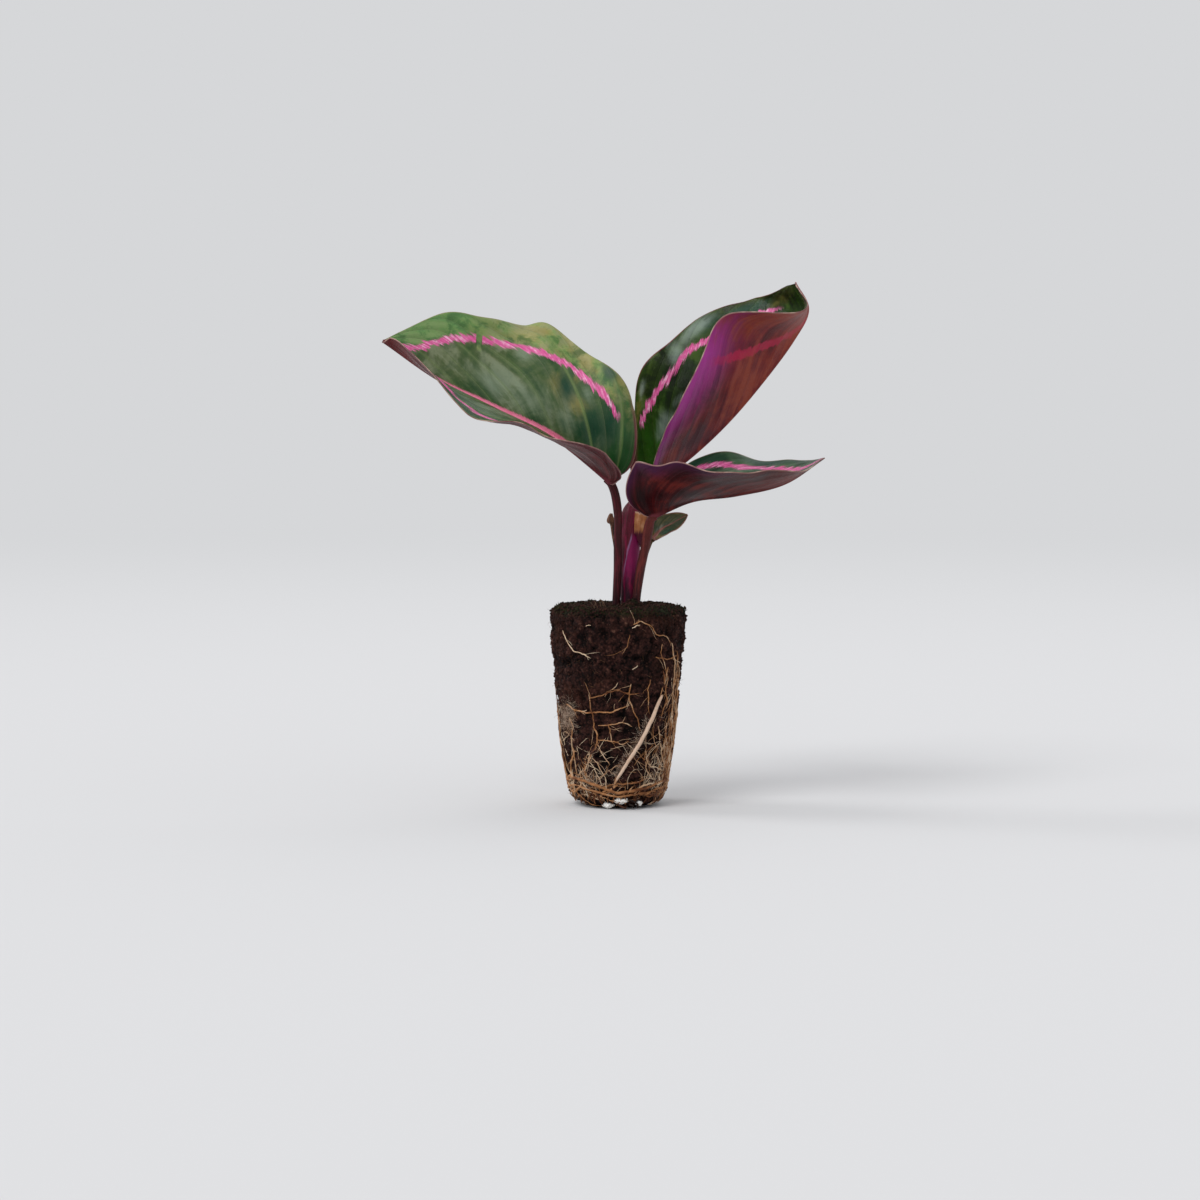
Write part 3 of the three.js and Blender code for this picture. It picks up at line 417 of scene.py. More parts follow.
class Amount:
    """A number that runs through a finish's nodes, so that a rule for it reads as a sum."""

    def __init__(self, finish, socket):
        self.finish, self.socket = finish, socket

    def __add__(self, other):
        return self.finish.math("ADD", self, other)

    def __sub__(self, other):
        return self.finish.math("SUBTRACT", self, other)

    def __rsub__(self, other):
        return self.finish.math("SUBTRACT", other, self)

    def __mul__(self, other):
        return self.finish.math("MULTIPLY", self, other)

    def __abs__(self):
        return self.finish.math("ABSOLUTE", self)


class Finish:
    """One procedural material, with short words for the nodes that it is made of."""

    def __init__(self, name):
        self.material = bpy.data.materials.new(name)
        self.material.use_nodes = True
        self.tree = self.material.node_tree
        self.tree.nodes.clear()
        self.shader = self.tree.nodes.new("ShaderNodeBsdfPrincipled")
        self.output = self.tree.nodes.new("ShaderNodeOutputMaterial")
        self.tree.links.new(self.shader.outputs["BSDF"], self.output.inputs["Surface"])
        self.here = self.tree.nodes.new("ShaderNodeTexCoord").outputs["Object"]

    def plain(self, value):
        """A value as a socket takes it, where a text is a colour."""
        if isinstance(value, Amount):
            return value.socket
        return paint(value) if isinstance(value, str) else value

    def node(self, kind, inputs, **settings):
        inputs = {word: self.plain(value) for word, value in inputs.items()}
        return add_node(self.tree, kind, inputs, **settings)

    def math(self, operation, a, b=0.0):
        return Amount(self, self.node("ShaderNodeMath", {0: a, 1: b}, operation=operation).outputs[0])

    def kept(self, *names):
        """The piece's own values of these names."""
        found = [self.node("ShaderNodeAttribute", {}, attribute_name=name) for name in names]
        amounts = [Amount(self, node.outputs["Fac"]) for node in found]
        return amounts if len(names) > 1 else amounts[0]

    def height(self):
        return Amount(self, self.node("ShaderNodeSeparateXYZ", {0: self.here}).outputs[2]) * (1 / MM)

    def noise(self, scale, detail=4.0, roughness=0.55, distortion=0.0, where=None):
        """Noise over the object's own place, or over another place."""
        where = self.here if where is None else where
        node = self.node("ShaderNodeTexNoise", {
            "Vector": where, "Scale": scale, "Detail": detail, "Roughness": roughness,
            "Distortion": distortion})
        return Amount(self, node.outputs["Fac"])

    def streaks(self, x, y, z, detail, roughness=0.55, scale=1.0):
        """Noise over values of the piece's own, which is drawn out where one of them changes slowly."""
        where = self.node("ShaderNodeCombineXYZ", {0: x, 1: y, 2: z}).outputs[0]
        return self.noise(scale, detail, roughness, where=where)

    def cells(self, scale):
        node = self.node("ShaderNodeTexVoronoi", {"Vector": self.here, "Scale": scale})
        return Amount(self, node.outputs["Distance"])

    def draw_of(self, value):
        """A draw between 0 and 1 that stays the same for each whole number."""
        node = self.node("ShaderNodeTexWhiteNoise", {"W": value}, noise_dimensions="1D")
        return Amount(self, node.outputs["Value"])

    def spread(self, value, low, high, to_low=0.0, to_high=1.0):
        node = self.node("ShaderNodeMapRange", {0: value, 1: low, 2: high, 3: to_low, 4: to_high},
                         interpolation_type="SMOOTHSTEP")
        return Amount(self, node.outputs[0])

    def fall(self, value, low, high):
        """All of something up to the low value, and none of it past the high one."""
        return self.spread(value, low, high, 1.0, 0.0)

    def ramp(self, value, *stops):
        node = self.node("ShaderNodeValToRGB", {0: value})
        marks = node.color_ramp.elements
        while len(marks) < len(stops):
            marks.new(0.5)
        for mark, (place, colour) in zip(marks, stops):
            mark.position = place
            mark.color = paint(colour)
        return node.outputs[0]

    def coats(self, colour, *layers):
        """A colour under thin layers, laid one after another: how much of each, and its tint."""
        for share, tint in layers:
            colour = self.node("ShaderNodeMix", {0: share, 6: colour, 7: tint}, data_type="RGBA").outputs[2]
        return colour

    def bump(self, height, distance):
        node = self.node("ShaderNodeBump", {"Distance": distance * MM, "Height": height})
        self.tree.links.new(node.outputs[0], self.shader.inputs["Normal"])

    def finish(self, colour, roughness, specular):
        looks = {"Base Color": colour, "Roughness": roughness, "Specular IOR Level": specular}
        for word, value in looks.items():
            set_socket(self.tree, self.shader.inputs[word], self.plain(value))
        return self.material


def ring_mask(skin, half_width, ends):
    """The pink ring: strokes that lie along the side veins, one after another, with feathered ends."""
    vein, ring, side, way = skin.kept("vein", "ring", "side", "way")
    strokes = vein * 2.3
    shift = (skin.draw_of(skin.math("FLOOR", strokes) + side * 31) - 0.5) * 0.7
    slant = (skin.math("FRACT", strokes) - 0.5) * 0.5
    strands = skin.streaks(vein * 17, ring * 0.45, side, 4, 0.7)
    body = skin.streaks(vein * 3, ring * 0.3, side, 2)
    reach = (strands - 0.5) * 3 + (body - 0.5) * 2.4 + half_width
    mask = skin.spread(reach - abs(ring + shift + slant), -0.1, 0.35)
    joined = skin.fall(skin.kept("gap") + strands * 0.3, 0.35, 0.6)
    from_base = skin.spread(way + strands * 0.06, RING_STARTS, RING_STARTS + 0.05)
    return mask * joined * from_base * skin.fall(way, ends, ends + 0.05)


def leaf_top_finish(name, inner, outer, base, ring, rib_width, gloss, tip=None, margin_tint="b99c8c",
                    pale="6f7c66", ring_ends=0.985, rib_tint=("c8406f", "e48aa6"), shine=0.24,
                    foot=("7c2444", 1.6)):
    """The painted upper face: green bands between swept veins with painted shade and light beside each main
    vein, pale blotches of painted sheen, a feathered pink ring and a pink midrib.
    """
    skin = Finish(name)
    vein, across, edge, side, way, ring_way = skin.kept("vein", "across", "edge", "side", "way", "ring")
    teal, tan, painted_sheen = skin.kept("teal", "tan", "painted_sheen")
    bands = skin.streaks(vein * 1.15, across * 0.05, side * 7, 5, 0.6)
    fine = skin.streaks(vein * 24, across * 0.3, side, 4, 0.65)
    blush = skin.streaks(vein * 6, across * 0.4, side, 3)
    patches = skin.noise(80, 5, 0.62, 0.5)
    mottle = skin.noise(170, 5, 0.65, 0.4)
    specks = skin.noise(700, 4, 0.7)

    outside = skin.coats(
        skin.ramp(patches * 0.65 + bands * 0.35, *zip((0.41, 0.46, 0.52, 0.58), outer)),
        (skin.spread(mottle, 0.48, 0.6) * 0.6, outer[0]),
        (skin.fall(mottle, 0.36, 0.48) * 0.5, outer[3]))
    if tip:
        outside = skin.coats(outside, (skin.spread(way + (patches - 0.5) * 0.3, 0.66, 0.88) * 0.65, tip))
    past_ring = ring_way + (bands - 0.5) * 7 + (patches - 0.5) * 4 + skin.kept("gap") * 2.5
    near_base = skin.fall(way + (patches - 0.5) * 0.6, 0.25, 0.45)
    # Painted sheen: how far the pale blotches that stand in for gloss highlights spread.
    painted_sheen_reach = painted_sheen * 0.7 + (bands - 0.5) * 1.1 + (patches - 0.5) * 1.4

    main_vein = vein * (1 / MAIN_VEIN_STEP)
    phase = skin.math("FRACT", main_vein)
    from_line = skin.math("PINGPONG", vein, MAIN_VEIN_STEP / 2)
    strong = skin.draw_of(skin.math("ROUND", main_vein) + side * 17)
    beside_line = skin.fall(from_line + (bands - 0.5) * 0.5, 0.02, 0.24)
    line = skin.fall(from_line + fine * 0.012, 0.012, 0.036)

    green = skin.coats(
        skin.ramp(bands * 0.32 + patches * 0.68, *zip((0.41, 0.47, 0.52, 0.585), inner)),
        (skin.spread(past_ring, -0.6, 1.6), outside),
        (near_base * 0.85, base),
        (skin.spread(mottle, 0.5, 0.64) * 0.45, inner[0]),
        (skin.fall(mottle, 0.3, 0.46) * 0.28, inner[3]),
        (skin.spread(tan * 0.6 + (patches - 0.5) * 2.6, 0.25, 0.85) * tan * 0.8, "857a38"),
        (skin.spread(teal * 0.9 + (bands - 0.5) * 2.6, 0.05, 0.5) * teal, "083a26"),
        # Painted highlight: the pale sheen blotches, in the pale tint.
        (skin.spread(painted_sheen_reach, 0.2, 0.9) * painted_sheen * 0.7, pale),
        # Painted shade just before each main vein and a painted highlight just past it, as light falls
        # across the quilted cushions.
        (skin.spread(phase, 0.5, 0.96) * 0.2, inner[0]),
        (skin.fall(phase, 0.02, 0.4) * 0.15, inner[3]),
        (beside_line * strong * skin.spread(edge, 1.5, 7) * 0.55, outer[1]),
        (line * skin.spread(edge, 1, 6) * 0.55, inner[3]),
        (skin.spread(specks, 0.56, 0.7) * 0.25, inner[0]),
        (skin.spread(fine, 0.54, 0.72) * 0.22, inner[3]))

    pink = skin.ramp(blush * 0.7 + specks * 0.3, (0.36, "c44482"), (0.5, "d95f9a"), (0.62, "ec9fc4"))
    flecks = skin.spread(specks + (blush - 0.5), 0.62, 0.7) * 0.3
    rib = skin.spread(way, 0.1, 0.95, 1.45, 0.3) * rib_width
    foot_tint, foot_reach = foot
    foot_edge = skin.fall(edge + (fine - 0.5), 0.3, foot_reach) * skin.fall(way, 0.16, 0.34)
    on_rib = skin.spread(rib + (fine - 0.5) * 1.6 - across, -0.15, 0.35)
    colour = skin.coats(
        green,
        (ring_mask(skin, ring, ring_ends), skin.coats(pink, (flecks, "f0dce4"))),
        (on_rib, skin.coats(rib_tint[0], (specks, rib_tint[1]))),
        (foot_edge * 0.8, foot_tint),
        (skin.fall(edge, 0.1, 0.35) * 0.5, margin_tint))
    skin.bump(fine * 0.5 + specks * 0.4 - line * 0.4, 0.15)
    return skin.finish(colour, skin.spread(patches + fine * 0.3, 0.5, 0.85, gloss, gloss + 0.14), shine)


def leaf_back_finish(name, brown, dark, light, purple, purple_from, purple_to, show_through=0.0,
                     rib="6e3038"):
    """The satin under face: maroon, purple towards the margin that is partly its own colour and partly a
    painted sheen where the margin turns to the light, with the ring showing faintly through.
    """
    skin = Finish(name)
    vein, across, edge, side, way, share = skin.kept("vein", "across", "edge", "side", "way", "share")
    fine = skin.streaks(vein * 22, across * 0.25, side, 4, 0.65)
    bands = skin.streaks(vein * 1.3, across * 0.05, side * 5, 5, 0.6)
    patches = skin.noise(75, 5, 0.6, 0.5)
    specks = skin.noise(800, 3, 0.6)
    uneven_way = way + (patches - 0.5) * 0.4
    blush = share + (patches - 0.5) * 0.5 + (bands - 0.5) * 0.3
    line = skin.fall(skin.math("PINGPONG", vein, MAIN_VEIN_STEP / 2), 0.012, 0.05)
    colour = skin.coats(
        skin.ramp(bands * 0.5 + patches * 0.5, (0.41, dark), (0.5, brown), (0.59, light)),
        # The purple towards the margin is partly the underside's own colour and partly a painted sheen where
        # the margin turns to the light.
        (skin.spread(blush, purple_from, purple_to) * skin.fall(uneven_way, 0.58, 0.82), purple),
        (skin.spread(fine, 0.5, 0.72) * 0.18, light),
        (line * 0.16, dark))
    if show_through:
        seen = skin.spread(way + (patches - 0.5) * 0.2, 0.56, 0.72) * show_through
        colour = skin.coats(colour, (ring_mask(skin, 1.5, 1.1) * seen, "c02350"))
    colour = skin.coats(
        colour,
        (skin.spread(uneven_way, 0.66, 0.9) * 0.5, light),
        (skin.fall(across, 0.6, 1.8) * skin.fall(way, 0.12, 0.4), rib),
        (skin.fall(edge, 0.1, 0.32) * 0.55, "b08880"))
    skin.bump(fine * 0.6 + line * 0.5 + specks * 0.2, 0.13)
    return skin.finish(colour, skin.spread(patches, 0.35, 0.7, 0.36, 0.5), 0.12)


def leaf_rim_finish():
    skin = Finish("leaf_rim")
    colour = skin.ramp(skin.noise(260), (0.35, "6c4040"), (0.5, "8f6a62"), (0.65, "b49a8a"))
    skin.bump(skin.noise(900), 0.05)
    return skin.finish(colour, 0.5, 0.3)


def peat_finish():
    """Damp dark peat with paler grit, woody flecks and a green-black rim, and painted shade that makes it
    black in its hollows and darker between its crumbs.
    """
    skin = Finish("damp_peat")
    lumps = skin.noise(190, 8, 0.72, 0.4)
    grit = skin.noise(1000, 6, 0.78)
    crumbs = skin.cells(1150)
    # Painted shade: the tone darkens where the relief sinks into hollows and in the cracks between the crumb
    # cells.
    tone = lumps * 0.45 + grit * 0.5 + skin.kept("relief") * 0.16 - crumbs * 0.2 - 0.1
    rusty = skin.spread(skin.noise(60, 3), 0.5, 0.7)
    flecks = skin.spread(skin.noise(2300, 2), 0.7, 0.76)
    moss = skin.spread(skin.height() + (lumps - 0.5) * 5, 53, 55.2)
    colour = skin.coats(
        skin.ramp(tone, (0.16, "0d0706"), (0.28, "2f1916"), (0.38, "4b2d26"), (0.5, "745444")),
        (rusty * 0.35, "432314"),
        (flecks * 0.5, "9c7c66"),
        (moss * 0.7, skin.coats("10120a", (grit, "33381f"))))
    skin.bump(grit * 0.9 + lumps * 0.4 - crumbs * 0.8, 0.9)
    return skin.finish(colour, skin.spread(grit, 0.4, 0.7, 0.82, 1.0), 0.12)


def crumb_finish(name, *stops):
    skin = Finish(name)
    grit = skin.noise(1500, 5, 0.7)
    skin.bump(grit, 0.25)
    return skin.finish(skin.ramp(skin.kept("tone") * 0.7 + grit * 0.35, *stops), 0.95, 0.12)


def root_finish(name, *stops, rough=0.62):
    """Root skin: each root has its own paleness, with browner patches along it."""
    skin = Finish(name)
    patches = skin.noise(330, 5, 0.68)
    fibre = skin.noise(2400, 3, 0.6)
    colour = skin.coats(
        skin.ramp(skin.kept("pale") * 0.6 + patches * 0.75 - 0.16, *stops),
        (skin.spread(fibre, 0.52, 0.68) * 0.35, stops[0][1]))
    skin.bump(patches + fibre, 0.09)
    return skin.finish(colour, rough, 0.25)


def stem_finish(name, low, high, dark, bright, change_from, change_to, rough=0.42, seam=None):
    """A smooth stem skin: long fine streaks, almost black at the soil, and a seam where sheaths overlap,
    with a painted lilac highlight along its edge.
    """
    skin = Finish(name)
    turn, along = skin.kept("turn", "along")
    round_x, round_y = skin.math("COSINE", turn), skin.math("SINE", turn)
    streaks = skin.streaks(round_x, round_y, along * 0.07, 5, 0.65, 2.6)
    fine = skin.streaks(round_x, round_y, along * 0.05, 4, 0.6, 13)
    specks = skin.noise(900, 3, 0.6)
    height = skin.height()
    change = skin.spread(height + (streaks - 0.5) * 12, change_from, change_to)
    colour = skin.coats(
        low,
        (change, high),
        (skin.spread(streaks, 0.44, 0.62) * 0.75, bright),
        (skin.spread(fine, 0.48, 0.66) * 0.45, dark),
        (skin.fall(height + specks * 3, 56.5, 63) * 0.7, "160b0d"),
        (skin.spread(specks, 0.66, 0.73) * 0.15, "a5808c"))
    if seam:
        at, lean, tint = seam
        past = turn + (73.0 - height) * lean - at + (streaks - 0.5) * 0.5
        bare = skin.spread(height, 60.5, 67) * skin.fall(height, 74, 76)
        colour = skin.coats(
            colour,
            (skin.spread(past, 0, 0.2) * bare * 0.75, tint),
            # Painted highlight: a pale lilac line along the lapped edge, where it catches the light.
            (skin.fall(abs(past), 0.02, 0.13) * bare * 0.6, "98749c"))
    skin.bump(fine + specks * 0.4, 0.1)
    return skin.finish(colour, skin.spread(fine, 0.3, 0.7, rough, rough + 0.15), 0.2)


def papery_finish():
    skin = Finish("papery_scale")
    turn, along, torn = skin.kept("turn", "along", "torn")
    ribs = skin.streaks(turn * 9, along * 0.12, 0.0, 4, 0.6)
    patches = skin.noise(300, 4, 0.6)
    colour = skin.coats(
        skin.ramp(ribs * 0.3 + patches * 0.7, (0.36, "7e462c"), (0.5, "a86c44"), (0.62, "bf8c66")),
        (skin.fall(torn, 0, 0.5) * 0.6, "d0b8a4"),
        (skin.fall(skin.height() + (ribs - 0.5) * 4, 75.2, 76.8), "4c1226"))
    skin.bump(ribs + patches, 0.08)
    return skin.finish(colour, 0.7, 0.2)


def perlite_finish():
    skin = Finish("perlite_grain")
    pits = skin.cells(1500)
    dust = skin.noise(900)
    colour = skin.ramp(pits * 0.5 + dust * 0.6, (0.3, "a8a197"), (0.48, "e4e1da"), (0.7, "fbfaf6"))
    skin.bump(pits + dust, 0.2)
    return skin.finish(colour, 0.85, 0.3)


def margin(leaf, half, way):
    """The share of the rib and the half width in millimetres of the margin's points."""
    share = way ** OUTLINE_SPREAD
    base = half.get("base", leaf["base"])
    peak = base / (base + leaf["tip"])
    top = peak ** base * (1 - peak) ** leaf["tip"]
    outline = share ** base * (1 - share) ** leaf["tip"] / top
    depth, count, phase = half.get("ripple", NO_RIPPLE)
    rippled = outline * (1 + depth * np.sin(FULL_TURN * (count * share + phase)))
    behind = half.get("lobe", leaf["lobe"]) * 4 * way * (1 - way) ** 3 / LOBE_PEAK
    low = way / FOOT_LOBE_AT
    behind = behind + half.get("foot", 0) * (low * np.exp(1 - low)) ** 2
    least = BLADE_BASE_HALF_WIDTH + (BLADE_TIP_HALF_WIDTH - BLADE_BASE_HALF_WIDTH) * share
    return share - behind, np.maximum(rippled * leaf["width"] * half["width"], least)


def blade_surface(leaf, half, side, along, across, opened):
    """The middle surface of a blade: along is the share of the rib, across the millimetres out from it."""
    inside = np.clip(along, 0, 1)
    low = np.maximum(inside - 0.0005, 0)
    high = np.minimum(inside + 0.0005, 1)
    tangent = (smoothly(leaf["rib"], high) - smoothly(leaf["rib"], low)) / (high - low)[..., None]
    point = smoothly(leaf["rib"], inside) + tangent * (along - inside)[..., None]
    up = unit(smoothly(leaf["facing"], inside))
    outward = unit(np.cross(unit(tangent), up)) * side
    fold = np.radians(smoothly(half["fold"], inside)) * opened
    curl = np.radians(smoothly(half["curl"], inside)) / leaf["width"]
    curl = np.where(np.abs(curl) < 1e-5, 1e-5, curl)
    turned = fold + curl * across
    height, count, phase = half["wave"]
    reach = np.minimum(across / leaf["width"], 1.2)
    wave = height * reach ** 2 * np.sin(FULL_TURN * (count * inside + phase))
    sideways = (np.sin(turned) - np.sin(fold)) / curl - wave * np.sin(turned)
    upwards = (np.cos(fold) - np.cos(turned)) / curl + wave * np.cos(turned)
    return point + outward * sideways[..., None] + up * upwards[..., None]


def half_blade(leaf, side, way, share):
    """One half's middle points, and what each point is to its materials."""
    half = leaf["right" if side > 0 else "left"]
    edge_share, width = margin(leaf, half, way)
    rib_share = way ** (OUTLINE_SPREAD * GRID_SWEEP)
    along = rib_share + (edge_share - rib_share) * share ** GRID_BEND
    opened = np.minimum(width / 4, 1) ** 0.7
    gap_from, gap_to = half.get("gap", NO_GAP)
    swept = way - VEIN_SWEEP * share * (1 + VEIN_BEND * share ** 3)
    ring = smoothly(half.get("ring", PLAIN_RING), way)
    values = {
        "way": way, "share": share, "across": width * share, "edge": width * (1 - share),
        "ring": (share - ring) * width, "gap": (way > gap_from) & (way < gap_to),
        "vein": leaf["veins"] * np.sign(swept) * np.abs(swept) ** VEIN_SPACING,
        "side": np.full_like(way, side),
    }
    for tint in ("teal", "tan", "painted_sheen"):
        values[tint] = np.zeros_like(way)
        for spot_side, at_way, at_share, way_reach, share_reach in leaf[tint]:
            if spot_side == side:
                away = ((way - at_way) / way_reach) ** 2 + ((share - at_share) / share_reach) ** 2
                values[tint] = np.maximum(values[tint], np.exp(-away / 2))
    return blade_surface(leaf, half, side, along, width * share, opened), values


def across_skin(points):
    return unit(np.cross(np.gradient(points, axis=1), np.gradient(points, axis=0)))


def sheet_grid(rows, columns):
    """A sheet of points in rows: its four sided faces, and its border as one loop of points."""
    order = np.arange(rows * columns).reshape(rows, columns)
    corners = order[:-1, :-1], order[:-1, 1:], order[1:, 1:], order[1:, :-1]
    border = np.concatenate([order[:-1, -1], order[-1, ::-1][:-1], order[::-1, 0][:-1], order[0, :-1]])
    return np.stack([c.ravel() for c in corners], axis=1), border


def quilted(leaf, middle, values):
    """How far the blade's skin stands out: cushions between its main veins, and broad soft lumps."""
    main_vein = values["vein"] / MAIN_VEIN_STEP
    cushion = (np.abs((main_vein + 0.5) % 1 - 0.5) * 2) ** 0.7
    cushion *= 0.7 + 0.4 * np.sin(2.4 * np.floor(main_vein) + values["side"])
    way, share = values["way"], values["share"]
    fade = (eased(share, 0.02, 0.16) * (1 - eased(share, 0.88, 1.0))
            * eased(way, 0.02, 0.15) * (1 - 0.6 * eased(way, 0.85, 1.0)))
    lumps = np.array([[noise.noise(Vector(p) * 0.16) for p in row] for row in middle])
    lumps = BLADE_LUMPS * lumps * eased(share, 0.05, 0.3) * leaf["width"] / 27
    return leaf["quilt"] * (cushion - 0.4) * fade + lumps


def blade(name, leaf, top, back, rim):
    """A leaf blade as one closed skin: quilted between its side veins, with a round rim and a midrib."""
    rows, reach = leaf["rows"], leaf["reach"]
    columns = 2 * reach + 1
    way = np.linspace(0, 1, rows + 1)[:, None] * np.ones((1, reach + 1))
    share = np.linspace(0, 1, reach + 1)[None, :] ** 1.15 * np.ones((rows + 1, 1))
    middle = np.zeros((rows + 1, columns, 3))
    values = {}
    for side in (-1, 1):
        points, found = half_blade(leaf, side, way, share)
        here = slice(reach, columns) if side > 0 else slice(reach, None, -1)
        middle[:, here] = points
        for label, numbers in found.items():
            values.setdefault(label, np.zeros((rows + 1, columns)))[:, here] = numbers
    near, left, right = (slice(reach - 2 + k, reach + 3 + k) for k in (0, -1, 1))
    for _ in range(3):
        middle[:, near] = (middle[:, near] * 2 + middle[:, left] + middle[:, right]) / 4
    middle = middle + across_skin(middle) * quilted(leaf, middle, values)[..., None]

    normal = across_skin(middle)
    thickening = (BLADE_HALF_THICKNESS - RIM_HALF_THICKNESS) * eased(values["edge"], 0.0, 2.0)
    half_thick = RIM_HALF_THICKNESS + thickening
    small = min(leaf["width"] / 17, 1)
    ridge = MIDRIB_DEPTH * small * (1 - 0.75 * values["way"])
    ridge = ridge * np.exp(-(values["across"] / (MIDRIB_HALF_WIDTH * small)) ** 2)
    groove = GROOVE_DEPTH * small * np.exp(-(values["across"] / (GROOVE_HALF_WIDTH * small)) ** 2)
    upper = middle + normal * (half_thick - groove)[..., None]
    lower = middle - normal * (half_thick + ridge)[..., None]

    outward = np.zeros_like(middle)
    outward[:, -1] += unit(middle[:, -1] - middle[:, -2])
    outward[:, 0] += unit(middle[:, 0] - middle[:, 1])
    outward[-1] += unit(middle[-1] - middle[-2])
    outward[0] += unit(middle[0] - middle[1])
    top_faces, loop = sheet_grid(rows + 1, columns)
    rim_points = middle.reshape(-1, 3)[loop] + unit(outward.reshape(-1, 3)[loop]) * RIM_ROUND
    points = np.concatenate([upper.reshape(-1, 3), lower.reshape(-1, 3), rim_points])

    count = (rows + 1) * columns
    back_faces = top_faces[:, [0, 3, 2, 1]] + count
    following = np.roll(loop, -1)
    rim_index = 2 * count + np.arange(len(loop))
    rim_next = np.roll(rim_index, -1)
    rim_top = np.stack([loop, rim_index, rim_next, following], axis=1)
    rim_back = np.stack([loop + count, following + count, rim_next, rim_index], axis=1)
    faces = np.concatenate([top_faces, back_faces, rim_top, rim_back])
    kinds = np.repeat([0, 1, 2], [len(top_faces), len(back_faces), 2 * len(loop)])
    every = {label: np.concatenate([n.ravel(), n.ravel(), n.ravel()[loop]]) for label, n in values.items()}
    uv = np.stack([every["way"], 0.5 + 0.5 * every["share"] * every["side"]], axis=1)
    return piece_from(name, points, faces, [top, back, rim], every, kinds, uv)


def frames_along(path):
    """A smooth pair of cross directions at each point of a path, with no twist."""
    tangents = unit(np.gradient(path, axis=0))
    side = np.array([1.0, 0.0, 0.0])
    sides = []
    for tangent in tangents:
        side = side - tangent * float(np.dot(side, tangent))
        side = side / np.linalg.norm(side)
        sides.append(side)
    sides = np.array(sides)
    return sides, np.cross(tangents, sides)


def turned_faces(rings, sides):
    """The faces of a turned shape whose points are its first pole, its rings and its last pole."""
    last = 1 + (rings - 1) * sides
    faces = []
    for s in range(sides):
        n = (s + 1) % sides
        faces += [(0, 1 + n, 1 + s), (last + s, last + n, last + sides)]
        for a in range(1, last, sides):
            faces.append((a + s, a + n, a + sides + n, a + sides + s))
    return faces


def stem(name, spec, finish, sides, steps, shape):
    """A closed round stem. shape gives the radius as a share, by angle and by share of the way."""
    u = np.linspace(0, 1, steps + 1)
    path = smoothly(spec["points"], u)
    radius = smoothly(spec["radii"], u)
    first, second = frames_along(path)
    turn = np.linspace(0, FULL_TURN, sides, endpoint=False)
    reach = radius[:, None] * shape(turn[None, :], u[:, None])
    rings = (path[:, None] + first[:, None] * (reach * np.cos(turn))[..., None]
             + second[:, None] * (reach * np.sin(turn))[..., None]).reshape(-1, 3)
    points = np.concatenate([path[:1], rings, path[-1:]])
    length = np.concatenate([[0], np.cumsum(np.linalg.norm(np.diff(path, axis=0), axis=1))])
    along = np.concatenate([length[:1], np.repeat(length, sides), length[-1:]])
    turns = np.concatenate([[0], np.tile(turn, steps + 1), [0]])
    faces = turned_faces(steps + 1, sides)
    return piece_from(name, points, faces, [finish], {"turn": turns, "along": along})


def rolled_sheath(turn, u):
    """The stalk is rolled sheaths: one edge laps over the next and climbs round it."""
    lap = (0.72 - 0.12 * u - turn / FULL_TURN) % 1
    inner = (turn / FULL_TURN + 0.71 - 0.2 * u) % 1
    shoulder = 0.32 * np.exp(-((turn - math.pi) / 0.8) ** 2 - ((u - 0.6) / 0.09) ** 2)
    return 0.96 + 0.08 * lap ** 0.8 + 0.03 * inner + 0.01 * np.sin(9 * turn + 3 * u) + shoulder


def grooved(turn, u):
    return 1 + 0.03 * np.sin(2 * turn + 2.5 * u) + 0.012 * np.sin(7 * turn + 5 * u) + 0.02 * np.sin(23 * u)


def shrivelled(turn, u):
    return 1 + 0.16 * np.sin(5 * turn + 6 * u) * eased(u, 0.3, 0.8) + 0.1 * np.sin(31 * u + turn)


def plug_radius(height):
    side = PLUG_OUTLINE[1:-3]
    return float(np.interp(height, [z for _, z in side], [r for r, _ in side]))


def heap_distance(p):
    """How far a place is from the middle of the heap of crumbs, in radii of the heap."""
    return math.hypot(p.x - SOIL_HEAP["x"], p.y - SOIL_HEAP["y"]) / SOIL_HEAP["radius"]


def near_heap(p):
    away = heap_distance(p)
    return math.exp(-away * away)


def peat_relief(p):
    """How far the peat stands out or in at a point, in millimetres: layered lumps, crumbs and hollows."""
    broad = noise.fractal(p * 0.16, 0.8, 2.0, 3)
    lump = noise.voronoi(p * 0.38)[0][0]
    crumb = noise.voronoi(p * 0.95)[0][0]
    rough = noise.fractal(p * 0.9, 0.6, 2.2, 3)
    pit = max(0.0, noise.noise(p * 0.36 + Vector((7, 3, 1))) - 0.26)
    out = 0.3 * broad + 0.95 * (0.5 - lump) + 0.7 * (0.5 - crumb) + 0.25 * rough - 2.4 * pit
    if p.y < 0:
        for x, z, half_width, half_height, depth in HOLLOWS:
            away = ((p.x - x) / half_width) ** 2 + ((p.z - z) / half_height) ** 2
            if away < 9:
                out -= depth * math.exp(-away)
    ragged = max(0.0, 4.5 - p.z) / 4.5
    bite = max(0.0, noise.noise(Vector((p.x * 0.3 + 3, p.y * 0.3, 1.5))) + 0.1)
    return out - ragged * (0.4 + 3.4 * bite)


